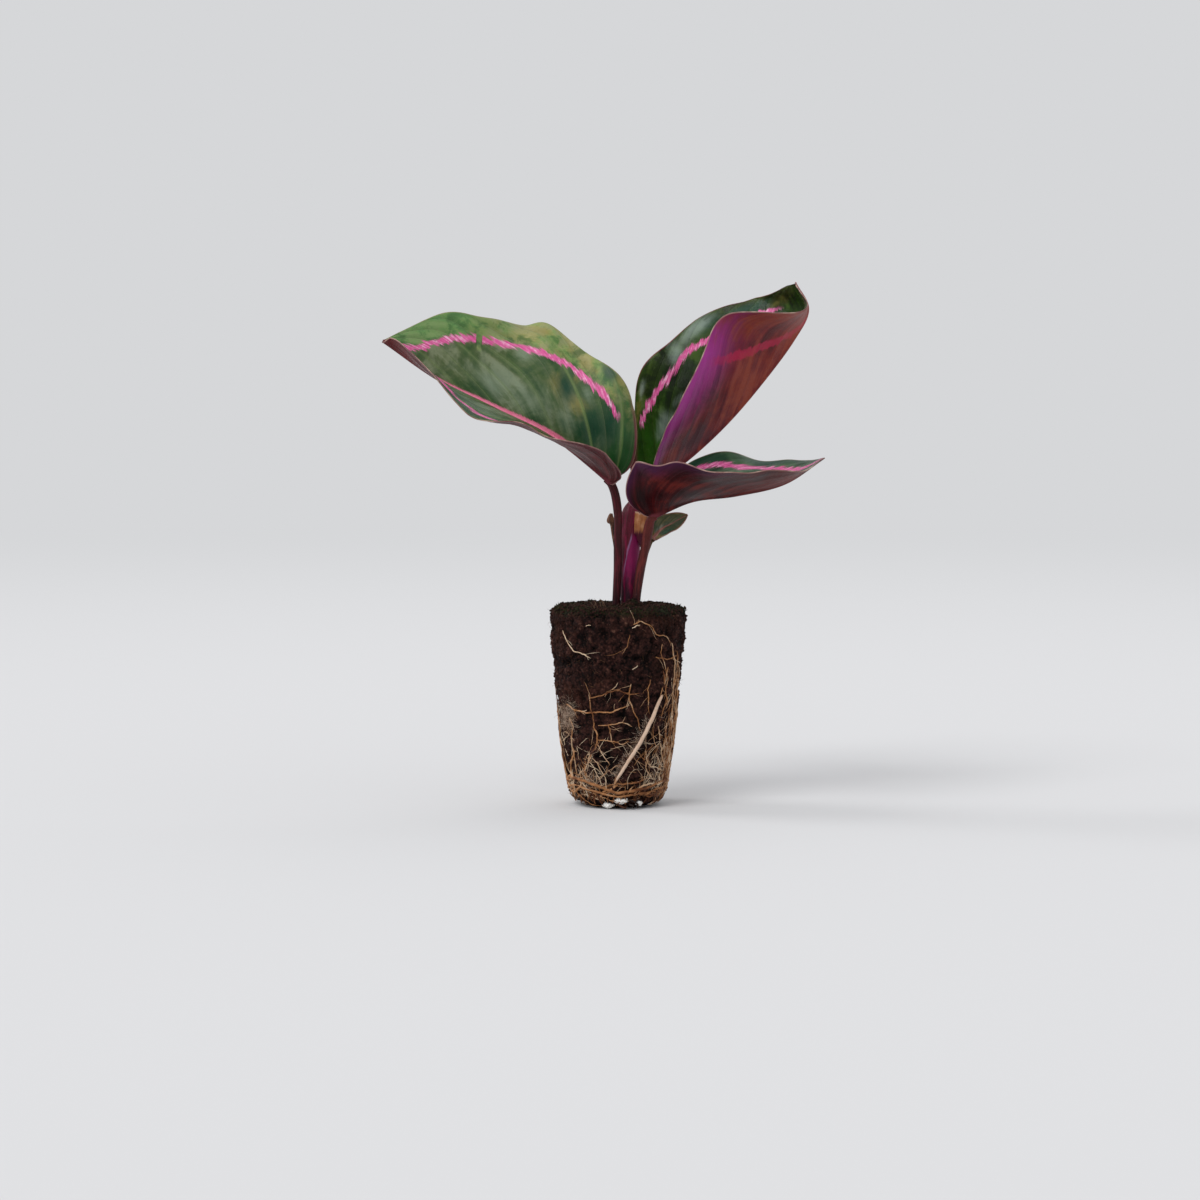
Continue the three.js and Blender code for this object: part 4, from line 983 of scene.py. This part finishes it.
def soil_plug(finish):
    """The tapered plug: a fine skin of rings whose points are pushed in and out by layered lumps."""
    outline = [Vector((r, 0, z)) for r, z in PLUG_OUTLINE]
    rings = []
    for start, end in zip(outline, outline[1:]):
        steps = max(1, round((end - start).length / PLUG_STEP))
        rings += [start.lerp(end, k / steps) for k in range(steps)]
    rings = rings[1:]
    points, relief = [(0, 0, 0)], [0]
    for k, ring in enumerate(rings):
        before, after = rings[max(k - 1, 0)], rings[min(k + 1, len(rings) - 1)]
        way = (after - before).normalized()
        out = Vector((way.z, 0, -way.x))
        for s in range(PLUG_SIDES):
            angle = FULL_TURN * s / PLUG_SIDES
            c, n = math.cos(angle), math.sin(angle)
            place = Vector((ring.x * c, ring.x * n, ring.z))
            depth = peat_relief(place)
            moved = place + Vector((out.x * c, out.x * n, out.z if ring.z > 0.01 else 0)) * depth
            if ring.z > SOIL_TOP - 1.5:
                away = heap_distance(place)
                moved.z += SOIL_HEAP["height"] * math.exp(-2 * away * away)
            points.append((moved.x, moved.y, max(moved.z, 0.0)))
            relief.append(depth)
    points.append((0, 0, SOIL_TOP))
    relief.append(0)
    faces = turned_faces(len(rings), PLUG_SIDES)
    return piece_from("peat_plug", points, faces, [finish], {"relief": relief})


def on_plug(angle, height, lift):
    radius = plug_radius(height) + lift
    return (radius * math.sin(angle), -radius * math.cos(angle), height)


def front_angle(x, height):
    return math.asin(max(-0.999, min(0.999, x / (plug_radius(height) + ROOT_LIFT))))


class Growth:
    """Lines of roots or hairs, gathered as one wire with a radius and a paleness at each point."""

    def __init__(self, seed):
        self.points, self.edges, self.girth, self.pale = [], [], [], []
        self.draw = random.Random(seed)

    def add(self, line, radius, pale, taper=ROOT_TAPER):
        """A line of finished points, thinner at its ends, with slight swellings along it."""
        start, last = len(self.points), len(line) - 1
        for i, point in enumerate(line):
            u = i / last
            ends = min(1.0, taper[0] + 5 * u, taper[1] + 3.5 * (1 - u))
            self.points.append(tuple(point))
            self.girth.append(radius * ends * (1 + 0.35 * noise.noise(Vector(point) * 0.8)))
            self.pale.append(pale + 0.25 * noise.noise(Vector(point) * 0.35))
            if i:
                self.edges.append((start + i - 1, start + i))

    def trail(self, line, radius, pale, stray, twigs=None, taper=ROOT_TAPER):
        """A root and its twigs. It follows points of angle and height over the plug, and strays a little."""
        line = np.asarray(line, float)
        steps = np.linalg.norm(np.diff(line * (PLUG_MEAN_RADIUS, 1), axis=0), axis=1)
        count = max(4, int(steps.sum() / ROOT_STEP))
        path = smoothly(line, np.linspace(0, 1, count + 1))
        shift = Vector((self.draw.uniform(0, 99), self.draw.uniform(0, 99), 0))
        points = []
        for i, (angle, height) in enumerate(path):
            hold = min(1.0, 6 * i / count, 6 * (1 - i / count))
            p = Vector((angle * PLUG_MEAN_RADIUS, height, 0)) + shift
            q = p + Vector((0, 0, 5))
            angle += (noise.noise(p * 0.3) + 0.35 * noise.noise(p * 1.1)) * stray * hold / PLUG_MEAN_RADIUS
            height += (noise.noise(q * 0.3) + 0.35 * noise.noise(q * 1.1)) * stray * hold
            path[i] = angle, max(radius * 0.6, height)
            points.append(on_plug(*path[i], ROOT_LIFT + 0.3 * noise.noise(p * 0.4 + Vector((0, 0, 9)))))
        self.add(points, radius, pale, taper)
        if twigs is None:
            return
        for _ in range(int(count * TWIGS_PER_STEP)):
            i = self.draw.randrange(1, count)
            ahead = path[i + 1] - path[i - 1]
            heading = math.atan2(ahead[1], ahead[0] * PLUG_MEAN_RADIUS)
            heading += self.draw.choice((-1, 1)) * self.draw.uniform(0.3, 1.0)
            length = self.draw.uniform(1.2, 5.5)
            twig = wander(self.draw, *path[i], heading, 0.4, length, 5)
            twig_radius = radius * self.draw.uniform(0.22, 0.45)
            twigs.trail(twig, twig_radius, pale + self.draw.uniform(0.0, 0.4), 0.3, taper=(1.0, 0.1))

    def wire(self, name):
        mesh = bpy.data.meshes.new(name)
        mesh.from_pydata([tuple(v * MM for v in p) for p in self.points], self.edges, [])
        keep_values(mesh, {"girth": np.array(self.girth) * MM, "pale": self.pale})
        return linked(name, mesh)


def wander(draw, angle, height, heading, turn, length, count):
    """Points of angle and height that set out on a heading and turn a little at each step."""
    line = [(angle, height)]
    for _ in range(count - 1):
        heading += draw.uniform(-turn, turn)
        angle += math.cos(heading) * length / (count - 1) / PLUG_MEAN_RADIUS
        height = max(0.9, height + math.sin(heading) * length / (count - 1))
        line.append((angle, height))
    return line


def root_lines():
    """Every root of the net: those seen in front, the two rings, and seeded ones where none is seen."""
    net, twigs = Growth(77), Growth(78)
    draw = net.draw
    vary = draw.uniform
    for line, radius, pale in NET_ROOTS:
        net.trail([(front_angle(x, z), z) for x, z in line], radius * 0.8, pale + 0.1, 0.75, twigs)
    for heights, radius, pale in RING_ROOTS:
        line = [(FULL_TURN * u, float(smoothly(heights + heights[:1], u))) for u in np.linspace(0, 1, 61)]
        net.trail(line, radius, pale, 0.7, twigs, (1, 1))
    for n in range(BACK_ROOTS):
        angle = math.pi * (0.4 + 1.22 * (n + draw.random()) / BACK_ROOTS)
        top, foot = vary(14, 44), vary(3.2, 6.5)
        lean = vary(-0.5, 0.5)
        line = [(angle + lean * k / 6 + vary(-0.07, 0.07), foot + (top - foot) * k / 6) for k in range(7)]
        net.trail(line, vary(0.13, 0.32), vary(0.15, 0.7), 0.9, twigs)
    for _ in range(RIGHT_ROOTS):
        line = wander(draw, draw.gauss(1.17, 0.17), vary(7, 40), DOWNWARDS, 0.35, vary(5, 14), 6)
        net.trail(line, vary(0.08, 0.2), vary(0.1, 0.9), 0.6, twigs)
    for _ in range(LOW_ROOTS):
        line = wander(draw, vary(0, FULL_TURN), vary(2.6, 7.5), 0, 0.35, vary(4, 13), 6)
        net.trail(line, vary(0.1, 0.3), vary(0.15, 0.6), 0.6, twigs)
    for _ in range(LOOSE_TWIGS):
        angle, height = vary(0, FULL_TURN), 3.0 + 17 * draw.random() ** 1.7
        if abs(math.sin(angle)) < 0.45 and math.cos(angle) > 0 and height > 11:
            continue
        line = wander(draw, angle, height, vary(0, math.pi), 0.5, vary(2.5, 8), 6)
        twigs.trail(line, vary(0.05, 0.13), vary(0.35, 1.0), 0.5)
    for _ in range(MATTED_TWIGS):
        x, height = draw.choice(MATTED_PLACES)
        angle = front_angle(draw.gauss(x, 2.2), 12)
        height = max(3.0, draw.gauss(height, 3.2))
        line = wander(draw, angle, height, vary(0, math.pi), 0.22, vary(2, 8), 6)
        twigs.trail(line, vary(0.035, 0.08), vary(0.5, 1.1), 0.4)
    for _ in range(FOOT_ENDS):
        line = wander(draw, vary(-1.2, 1.5), vary(3.0, 5.5), DOWNWARDS, 0.8, vary(2, 4.5), 5)
        net.trail(line, vary(0.08, 0.22), vary(-0.3, 0.35), 0.5)
    for hook in DARK_HOOKS:
        net.add(smoothly(hook, np.linspace(0, 1, 16)), 0.26, -0.35, (1, 0.3))
    return net, twigs


def hair_lines():
    """Fine white root hairs, matted over the peat in patches, and the fuzz along the thick root."""
    hairs = Growth(31)
    draw = hairs.draw
    vary = draw.uniform
    spots = [(x, z, wide, tall) for x, z, wide, tall, count in HAIR_PATCHES for _ in range(count)]
    for x, z in smoothly(MAIN_ROOT["line"], np.linspace(0.25, 0.92, MAIN_ROOT_HAIRS)):
        spots.append((x - 0.45, z + 0.25, 1.0, 1.0))
    for x, z, wide, tall in spots:
        px, pz = draw.gauss(x, wide * 0.5), max(2.0, draw.gauss(z, tall * 0.5))
        heading = vary(0, FULL_TURN)
        lift = ROOT_LIFT + vary(-0.3, 0.3)
        line = []
        for _ in range(5):
            line.append(on_plug(front_angle(px, pz), pz, lift + vary(-0.1, 0.15)))
            px, pz = px + math.cos(heading) * HAIR_STEP, max(1.6, pz + math.sin(heading) * HAIR_STEP)
            heading += vary(-0.4, 0.4)
        hairs.add(line, vary(0.012, 0.03), vary(0.5, 1.1) - 0.15 * (px < -11))
    for _ in range(STANDING_HAIRS):
        x, y = vary(-6.5, -3), vary(-13, -6)
        lean, tall = vary(-1.6, 0.6), vary(2.2, 4.6)
        line = [(x + lean * u * u, y + 0.4 * u, SOIL_TOP - 0.3 + tall * (u - 0.25 * u * u))
                for u in np.linspace(0, 1, 6)]
        hairs.add(line, 0.035, 0.2)
    return hairs


def sprig_lines():
    """Dark sprigs of moss and root ends that stick out of the rim."""
    sprigs = Growth(52)
    draw = sprigs.draw
    vary = draw.uniform
    for degrees, size in RIM_SPRIGS:
        for _ in range(14):
            angle = math.radians(degrees + draw.gauss(0, 2.2))
            height = vary(52.6, 54.6)
            lean, rise = vary(0.1, 0.9) * size, vary(0.2, 1.5) * size
            twist = vary(-0.05, 0.05) * size
            line = [on_plug(angle + twist * u, height + rise * u, lean * u - 0.4)
                    for u in (0, 0.35, 0.7, 1)]
            sprigs.add(line, vary(0.08, 0.16), vary(0, 0.7), (1, 0.1))
    return sprigs


def thick_root_line():
    """The one thick young root, fuller in its upper half and yellow at its tip."""
    root = Growth(3)
    noise.seed_set(3)
    path = smoothly([on_plug(front_angle(x, z), z, MAIN_ROOT["lift"]) for x, z in MAIN_ROOT["line"]],
                    np.linspace(0, 1, 90))
    for i, point in enumerate(path):
        u = i / (len(path) - 1)
        root.points.append(tuple(point + 0.16 * np.array(noise.noise_vector(Vector(point) * 0.35))))
        swelling = 1 + 0.12 * noise.noise(Vector(point) * 1.1)
        rounded = math.sqrt(max(0.02, 1 - (1 - min(1.0, u / 0.03)) ** 2))
        root.girth.append(float(smoothly(MAIN_ROOT["radii"], u)) * swelling * rounded)
        root.pale.append(0.8 - 0.75 * float(eased(u, 0.9, 0.98)) - 0.2 * float(eased(u, 0.2, 0.0)))
        if i:
            root.edges.append((i - 1, i))
    return root


def new_tree(name, inputs):
    """A node tree with its named inputs, a way to add its nodes, and its ending."""
    tree = bpy.data.node_groups.new(name, "GeometryNodeTree")
    tree.interface.new_socket("Geometry", in_out="INPUT", socket_type="NodeSocketGeometry")
    for label, kind, value in inputs:
        socket = tree.interface.new_socket(label, in_out="INPUT", socket_type="NodeSocket" + kind)
        if value is not None:
            socket.default_value = value
    tree.interface.new_socket("Geometry", in_out="OUTPUT", socket_type="NodeSocketGeometry")
    given = tree.nodes.new("NodeGroupInput").outputs
    sink = tree.nodes.new("NodeGroupOutput")

    def add(kind, sockets, **settings):
        return add_node(tree, kind, sockets, **settings).outputs

    def end(geometry):
        whole = add("GeometryNodeRealizeInstances", {"Geometry": geometry})
        painted = add("GeometryNodeSetMaterial", {"Geometry": whole[0], "Material": given["Finish"]})
        tree.links.new(painted[0], sink.inputs[0])
        return tree

    return given, add, end


def root_skin_tree():
    """Turns a wire of roots into round skins of each point's own girth."""
    given, add, end = new_tree("root_skin", [("Sides", "Int", 6), ("Finish", "Material", None)])
    curve = add("GeometryNodeMeshToCurve", {"Mesh": given["Geometry"]})
    girth = add("GeometryNodeInputNamedAttribute", {"Name": "girth"}, data_type="FLOAT")
    circle = add("GeometryNodeCurvePrimitiveCircle", {
        "Resolution": given["Sides"], "Radius": 1.0}, mode="RADIUS")
    skin = add("GeometryNodeCurveToMesh", {
        "Curve": curve[0], "Profile Curve": circle[0], "Scale": girth[0], "Fill Caps": True})
    return end(add("GeometryNodeSetShadeSmooth", {"Geometry": skin[0], "Shade Smooth": True})[0])


def scatter_tree():
    """Scatters copies of a small shape over a skin, each turned, sized and toned by a seeded draw."""
    given, add, end = new_tree("scatter", [
        ("Shape", "Object", None), ("Density", "Float", 1000.0), ("Smallest", "Float", 0.5),
        ("Largest", "Float", 1.0), ("Stand", "Float", 0.0), ("Lift", "Float", 0.0), ("Seed", "Int", 1),
        ("Finish", "Material", None),
    ])

    def drawn(kind, low, high, place):
        values = {"Seed": given["Seed"], place: low, place + 1: high}
        return add("FunctionNodeRandomValue", values, data_type=kind)[place // 2]

    def scaled(vector, amount):
        return add("ShaderNodeVectorMath", {0: vector, "Scale": amount}, operation="SCALE")[0]

    amount = add("GeometryNodeInputNamedAttribute", {"Name": "amount"}, data_type="FLOAT")
    density = add("ShaderNodeMath", {0: given["Density"], 1: amount[0]}, operation="MULTIPLY")
    dots = add("GeometryNodeDistributePointsOnFaces", {
        "Mesh": given["Geometry"], "Density": density[0], "Seed": given["Seed"]},
        distribute_method="RANDOM")
    anyway = drawn("FLOAT_VECTOR", (-1, -1, -1), (1, 1, 1), 0)
    upright = scaled(dots["Normal"], given["Stand"])
    aim = add("ShaderNodeVectorMath", {0: upright, 1: anyway}, operation="ADD")
    turned = add("FunctionNodeAlignRotationToVector", {"Vector": aim[0]}, axis="Z")
    spin = add("FunctionNodeAxisAngleToRotation", {"Angle": drawn("FLOAT", 0.0, FULL_TURN, 2)})
    both = add("FunctionNodeRotateRotation", {0: turned[0], 1: spin[0]}, rotation_space="LOCAL")
    shape = add("GeometryNodeObjectInfo", {"Object": given["Shape"]})
    rise = scaled(dots["Normal"], given["Lift"])
    raised = add("GeometryNodeSetPosition", {"Geometry": dots["Points"], "Offset": rise})
    copies = add("GeometryNodeInstanceOnPoints", {
        "Points": raised[0], "Instance": shape["Geometry"], "Rotation": both[0],
        "Scale": drawn("FLOAT", given["Smallest"], given["Largest"], 2)})
    toned = add("GeometryNodeStoreNamedAttribute", {
        "Geometry": copies[0], "Name": "tone", "Value": drawn("FLOAT", 0.0, 1.0, 2)},
        data_type="FLOAT", domain="INSTANCE")
    return end(toned[0])


def grown(name, carrier, tree, settings):
    """Runs a node tree on a carrier and gives the result as a plain mesh piece at the origin."""
    modifier = carrier.modifiers.new("growth", "NODES")
    modifier.node_group = tree
    sockets = [item for item in tree.interface.items_tree if item.in_out == "INPUT"]
    identifiers = {socket.name: socket.identifier for socket in sockets}
    for label, value in settings.items():
        modifier[identifiers[label]] = value
    bpy.context.view_layer.update()
    graph = bpy.context.evaluated_depsgraph_get()
    mesh = bpy.data.meshes.new_from_object(carrier.evaluated_get(graph), preserve_all_data_layers=True,
                                           depsgraph=graph)
    carrier.modifiers.remove(modifier)
    mesh.name = name
    return linked(name, mesh)


def discard(*things):
    for thing in things:
        bpy.data.objects.remove(thing, do_unlink=True)


def small_shape(name, points, faces):
    mesh = bpy.data.meshes.new(name)
    mesh.from_pydata([tuple(v * MM for v in p) for p in points], [], faces)
    mesh.update()
    return linked(name, mesh)


def crumb_shape():
    """A lump of peat with twenty uneven sides."""
    golden = (1 + 5 ** 0.5) / 2
    corners = []
    for a in (-1, 1):
        for b in (-golden, golden):
            corners += [(0, a, b), (a, b, 0), (b, 0, a)]
    corners = [Vector(c).normalized() for c in corners]
    side = min((c - corners[0]).length for c in corners[1:]) * 1.01
    faces = []
    for i, j, k in itertools.combinations(range(12), 3):
        a, b, c = corners[i], corners[j], corners[k]
        if max((a - b).length, (b - c).length, (a - c).length) < side:
            faces.append((i, j, k) if (b - a).cross(c - a).dot(a) > 0 else (i, k, j))
    draw = random.Random(3)
    sizes = (1, 0.8, 0.6)
    points = [tuple(v * size * draw.uniform(0.55, 1.35) for v, size in zip(c, sizes)) for c in corners]
    return small_shape("crumb", points, faces)


def sliver_shape(name, length, width, bend, segments):
    """A thin three sided sliver that stands on its foot and bends over: a moss leaf or a peat fibre."""
    points = []
    for i in range(segments):
        u = i / segments
        half = width * (1 - u) ** 0.7
        middle = Vector((bend * u * u * length, 0, u * length))
        points += [middle + Vector(v) for v in ((0, half, 0), (half * 0.6, -half * 0.7, 0),
                                                (-half * 0.6, -half * 0.7, 0))]
    points.append(Vector((bend * length, 0, length)))
    faces = [(0, 1, 2)]
    for i in range(segments):
        a = 3 * i
        for k, n in ((0, 1), (1, 2), (2, 0)):
            if i < segments - 1:
                faces.append((a + n, a + k, a + 3 + k, a + 3 + n))
            else:
                faces.append((a + n, a + k, len(points) - 1))
    return small_shape(name, points, faces)


def set_amount(piece, rule):
    """How thickly things are scattered at each point of a piece, by a rule of its place in millimetres."""
    layer = piece.data.attributes.get("amount") or piece.data.attributes.new("amount", "FLOAT", "POINT")
    layer.data.foreach_set("value", [float(rule(v.co / MM)) for v in piece.data.vertices])


def papery_scale(finish):
    """The dry scale that wraps the front right of the stalk, with a torn top edge."""
    rows, columns = 31, 45
    draw = random.Random(9)
    torn = [draw.uniform(0, 1.0) for _ in range(9)]
    rise = np.linspace(0, 1, rows)[:, None] * np.ones((1, columns))
    share = np.linspace(0, 1, columns)[None, :] * np.ones((rows, 1))
    angle = np.radians(-72 - 12 * rise + (54 + 10 * rise) * share)
    high = 81.8 - share - smoothly(torn, share) * 0.4
    low = 75.6 - 5 * share + 0.25 * np.sin(9 * share)
    height = low + (high - low) * rise
    path = np.array(STALK["points"], float)
    x, y, radius = (np.interp(height, path[:, 2], line)
                    for line in (path[:, 0], path[:, 1], STALK["radii"]))
    flare = 0.25 * rise ** 2 + share ** 2 * (0.35 + 1.35 * rise) + 0.07 * np.sin(14 * share + 3 * rise)
    near = radius * 1.06 + 0.2 + flare
    layers = [np.stack([x + reach * np.cos(angle), y + reach * np.sin(angle), height], axis=-1)
              for reach in (near, near + SCALE_THICKNESS)]
    sheet, loop = sheet_grid(rows, columns)
    count, following = rows * columns, np.roll(loop, -1)
    border = np.stack([loop, following, following + count, loop + count], axis=1)
    faces = np.concatenate([sheet[:, [0, 3, 2, 1]], sheet + count, border])
    tear = np.minimum((high - height) * 0.8, (1 - share) * 3)
    values = {"turn": angle, "along": height, "torn": tear}
    return piece_from("papery_scale", np.concatenate(layers).reshape(-1, 3), faces, [finish],
                      {label: np.tile(numbers.ravel(), 2) for label, numbers in values.items()})


def grain(spec, finish):
    """A lumpy white grain: a fine ball pushed in and out by layered noise."""
    sides, rows = 40, 24
    points = []
    for i in range(rows, -1, -1):
        tilt = math.pi * i / rows
        for k in range(sides if 0 < i < rows else 1):
            turn = FULL_TURN * k / sides
            way = Vector((math.sin(tilt) * math.cos(turn), math.sin(tilt) * math.sin(turn), math.cos(tilt)))
            size = 1 + 0.3 * noise.fractal(way * 1.7 + Vector((spec["seed"], 0, 0)), 0.8, 2.2, 4)
            x, y, z = (spec["middle"][c] + way[c] * spec["radii"][c] * size for c in range(3))
            points.append((x, y, max(z, 0.02)))
    return piece_from(spec["name"] + "_grain", points, turned_faces(rows - 1, sides), [finish])


def settle(piece, slot, *nodes):
    """The piece rides on the plant's one body and stands for its solids."""
    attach(piece, "root")
    if nodes:
        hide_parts(*nodes)


def build_leaves():
    rim = leaf_rim_finish()
    # Each pale colour below tints a leaf's painted sheen blotches, which stand in for gloss highlights.
    left_top = leaf_top_finish(
        "left_leaf_top", ("22421e", "3a5228", "505f38", "767f60"), ("4a6e30", "789050", "8c8c50", "a09a68"),
        "0f481c", 1.05, 1.6, 0.36, "4f8a4c", margin_tint="8a8f5c", pale="7a8a74",
        rib_tint=("d24c78", "ee9cb4"))
    left_back = leaf_back_finish("left_leaf_back", "4c1517", "300a0c", "68282a", "521c28", 0.7, 1.2)
    right_top = leaf_top_finish(
        "right_leaf_top", ("102c16", "224228", "34543a", "5c7460"), ("16361a", "284828", "385a36", "506c46"),
        "102e18", 1.0, 1.0, 0.3)
    right_back = leaf_back_finish("right_leaf_back", "3a080c", "1c0406", "66201a", "3a1438", 0.72, 1.1)
    upright_top = leaf_top_finish(
        "upright_leaf_top", ("0a1800", "132800", "203a02", "3f581c"),
        ("0f1c02", "1e3002", "30440a", "46582a"), "235400", 1.0, 1.0, 0.2, "3a3a12", margin_tint="8a2c48",
        pale="93a398", ring_ends=0.86, shine=0.14, foot=("8c1c4c", 3.4))
    upright_back = leaf_back_finish(
        "upright_leaf_back", "6c2024", "42101c", "8c3e2e", "ac3894", 0.4, 1.0, show_through=0.65,
        rib="b0566c")
    small_top = leaf_top_finish(
        "small_leaf_top", ("1e2c18", "34402a", "4a4c30", "66603c"), ("2a3420", "454a2e", "5c5630", "6e5f38"),
        "6a5a10", -6.0, 0.7, 0.4, margin_tint="8a4c3c", pale="84857a", rib_tint=("6e3428", "a8746a"))
    small_back = leaf_back_finish("small_leaf_back", "5a382c", "3a2218", "7a5240", "6a3c38", 0.7, 1.2)
    for name, leaf, top, back in (
            ("left", LEFT_LEAF, left_top, left_back),
            ("right", RIGHT_LEAF, right_top, right_back),
            ("upright", UPRIGHT_LEAF, upright_top, upright_back),
            ("small", SMALL_LEAF, small_top, small_back)):
        settle(blade(name + "_blade", leaf, top, back, rim), "painted_leaf", "leaf_" + name)


def build_stems():
    stalk_skin = stem_finish(
        "stalk_skin", "340820", "560a20", "1e0410", "8a1040", 58, 74, seam=(4.62, 0.065, "7c0c4e"))
    left_skin = stem_finish("left_stem_skin", "30080f", "3a0b0d", "180406", "601422", 60, 86)
    right_skin = stem_finish("right_stem_skin", "3e1416", "541c18", "1e0a0c", "702a26", 60, 78)
    small_skin = stem_finish("small_stem_skin", "351618", "55401f", "22100e", "643a2c", 66, 73)
    dry_skin = stem_finish("dry_stub_skin", "2c1612", "7c5542", "251510", "94694e", 76, 80, 0.6)
    for name, spec, skin, sides, steps, shape, slot, node in (
            ("stalk_sheaths", STALK, stalk_skin, 72, 150, rolled_sheath, "stalk_skin", "stalk"),
            ("left_stem", PETIOLE_LEFT, left_skin, 40, 160, grooved, "stem_skin", "petiole_left"),
            ("right_stem", PETIOLE_RIGHT, right_skin, 40, 140, grooved, "stem_skin", "petiole_right"),
            ("small_stem", PETIOLE_SMALL, small_skin, 24, 100, grooved, "stem_skin", "petiole_small"),
            ("dry_stub", OLD_STUB, dry_skin, 28, 120, shrivelled, "dry_scale", "old_leaf_stub")):
        settle(stem(name, spec, skin, sides, steps, shape), slot, node)
    settle(papery_scale(papery_finish()), "dry_scale", "papery_sheath")


def scatter_over(peat):
    """Crumbs, fibres and moss over the plug, each from its own small shape, thickness and sizes."""
    scatter = scatter_tree()
    crumb = crumb_shape()
    fibre = sliver_shape("fibre", 2.0, 0.05, 0.5, 4)
    tuft = sliver_shape("tuft", 0.55, 0.11, 0.5, 2)
    dark = crumb_finish(
        "peat_crumb_skin", (0.15, "0c0605"), (0.55, "241412"), (0.85, "38221c"), (1.0, "573c30"))
    tan = crumb_finish(
        "peat_fibre_skin", (0.1, "20130d"), (0.55, "4a3020"), (0.85, "7c5a40"), (1.0, "a58464"))
    moss = crumb_finish(
        "rim_moss_skin", (0.1, "0a0c06"), (0.5, "181d0e"), (0.8, "2b3218"), (1.0, "444824"))
    pieces = []
    for name, shape, density, small, large, stand, lift, seed, skin, rule in (
            ("peat_crumbs", crumb, 1250000.0, 0.12, 0.4, 0.0, 0.00003, 5, dark, lambda p: p.z > 1.0),
            ("top_crumbs", crumb, 1500000.0, 0.22, 0.6, 0.0, 0.0001, 9, dark,
             lambda p: 0.5 * (p.z > 53.5) + near_heap(p) * (p.z > 54)),
            ("peat_fibres", fibre, 120000.0, 0.35, 1.0, 0.3, 0.0, 12, tan, lambda p: p.z > 2.5),
            ("rim_moss", tuft, 6500000.0, 0.5, 1.1, 0.7, 0.0, 21, moss,
             lambda p: eased(p.z, 53.4, 54.9) * (0.1 + 0.9 * (math.hypot(p.x, p.y) > 13.5)))):
        set_amount(peat, rule)
        pieces.append(grown(name, peat, scatter, {
            "Shape": shape, "Density": density, "Smallest": small, "Largest": large, "Stand": stand,
            "Lift": lift, "Seed": seed, "Finish": skin}))
    discard(crumb, fibre, tuft)
    return pieces


def build_plug():
    peat = soil_plug(peat_finish())
    scattered = scatter_over(peat)
    net, twigs = root_lines()
    tan_root = root_finish(
        "fine_root_skin", (0.0, "1c100b"), (0.3, "643618"), (0.52, "a87448"), (0.85, "e0c8aa"))
    hair = root_finish("root_hair_skin", (0.1, "5e4434"), (0.5, "a08068"), (0.9, "dcc8b4"), rough=0.85)
    young = root_finish("young_root_skin", (0.1, "94652a"), (0.4, "bb9478"), (0.8, "d6bca6"), rough=0.55)
    mossy = root_finish("rim_sprig_skin", (0.1, "0c0d08"), (0.5, "1c2012"), (0.9, "3a3e24"), rough=0.9)
    skin = root_skin_tree()
    settle(peat, "peat", "soil_plug")
    for piece in scattered:
        settle(piece, "peat")
    for name, growth, sides, finish, slot, *nodes in (
            ("root_net_skin", net, 7, tan_root, "fine_root", "root_net"),
            ("root_twigs", twigs, 4, tan_root, "fine_root"),
            ("root_fuzz", hair_lines(), 3, hair, "fine_root"),
            ("thick_young_root", thick_root_line(), 20, young, "young_root", "main_root"),
            ("rim_sprigs", sprig_lines(), 4, mossy, "peat")):
        wire = growth.wire(name + "_wire")
        settle(grown(name, wire, skin, {"Sides": sides, "Finish": finish}), slot, *nodes)
        discard(wire)
    white = perlite_finish()
    for spec in GRAINS:
        settle(grain(spec, white), "perlite", spec["name"])


def floor_and_light():
    """A plain pale floor that fades into a room of one pale shade, a soft key light and weaker lights."""
    scene = bpy.context.scene
    world = bpy.data.worlds.new("pale_room")
    scene.world = world
    world.use_nodes = True
    world.node_tree.nodes["Background"].inputs[0].default_value = paint(ROOM_SHADE)
    pale = Finish("pale_floor")
    pale.finish(FLOOR_SHADE, 1.0, 0.0)
    glow = pale.node("ShaderNodeEmission", {"Color": ROOM_SHADE})
    away = pale.node("ShaderNodeVectorMath", {0: pale.here}, operation="LENGTH").outputs["Value"]
    fade = pale.node("ShaderNodeMixShader", {
        0: pale.spread(away, *FLOOR_FADE), 1: pale.shader.outputs[0], 2: glow.outputs[0]})
    set_socket(pale.tree, pale.output.inputs["Surface"], fade.outputs[0])
    turns = [FULL_TURN * k / FLOOR_SIDES for k in range(FLOOR_SIDES)]
    ring = [(FLOOR_RADIUS * math.cos(turn), FLOOR_RADIUS * math.sin(turn), 0) for turn in turns]
    mesh = bpy.data.meshes.new("floor")
    mesh.from_pydata(ring, [], [tuple(range(FLOOR_SIDES))])
    mesh.materials.append(pale.material)
    linked("floor", mesh)
    for name, strength, spread, tilt, turn in LIGHTS:
        light = bpy.data.lights.new(name, "SUN")
        light.energy = strength
        light.angle = math.radians(spread)
        lamp = linked(name, light)
        lamp.rotation_euler = (math.radians(tilt), 0, math.radians(turn))
    scene.view_settings.view_transform = "Standard"


def camera():
    rise = math.radians(CAMERA_RISE)
    back = Vector((0, -math.cos(rise), math.sin(rise)))
    data = bpy.data.cameras.new("camera")
    data.lens = CAMERA_LENS
    data.sensor_width = CAMERA_SENSOR
    eye = linked("camera", data)
    eye.location = (Vector(CAMERA_AIM) + back * CAMERA_DISTANCE) * MM
    eye.rotation_euler = back.to_track_quat("Z", "Y").to_euler()
    bpy.context.scene.camera = eye


camera()
floor_and_light()
build_leaves()
build_stems()
build_plug()
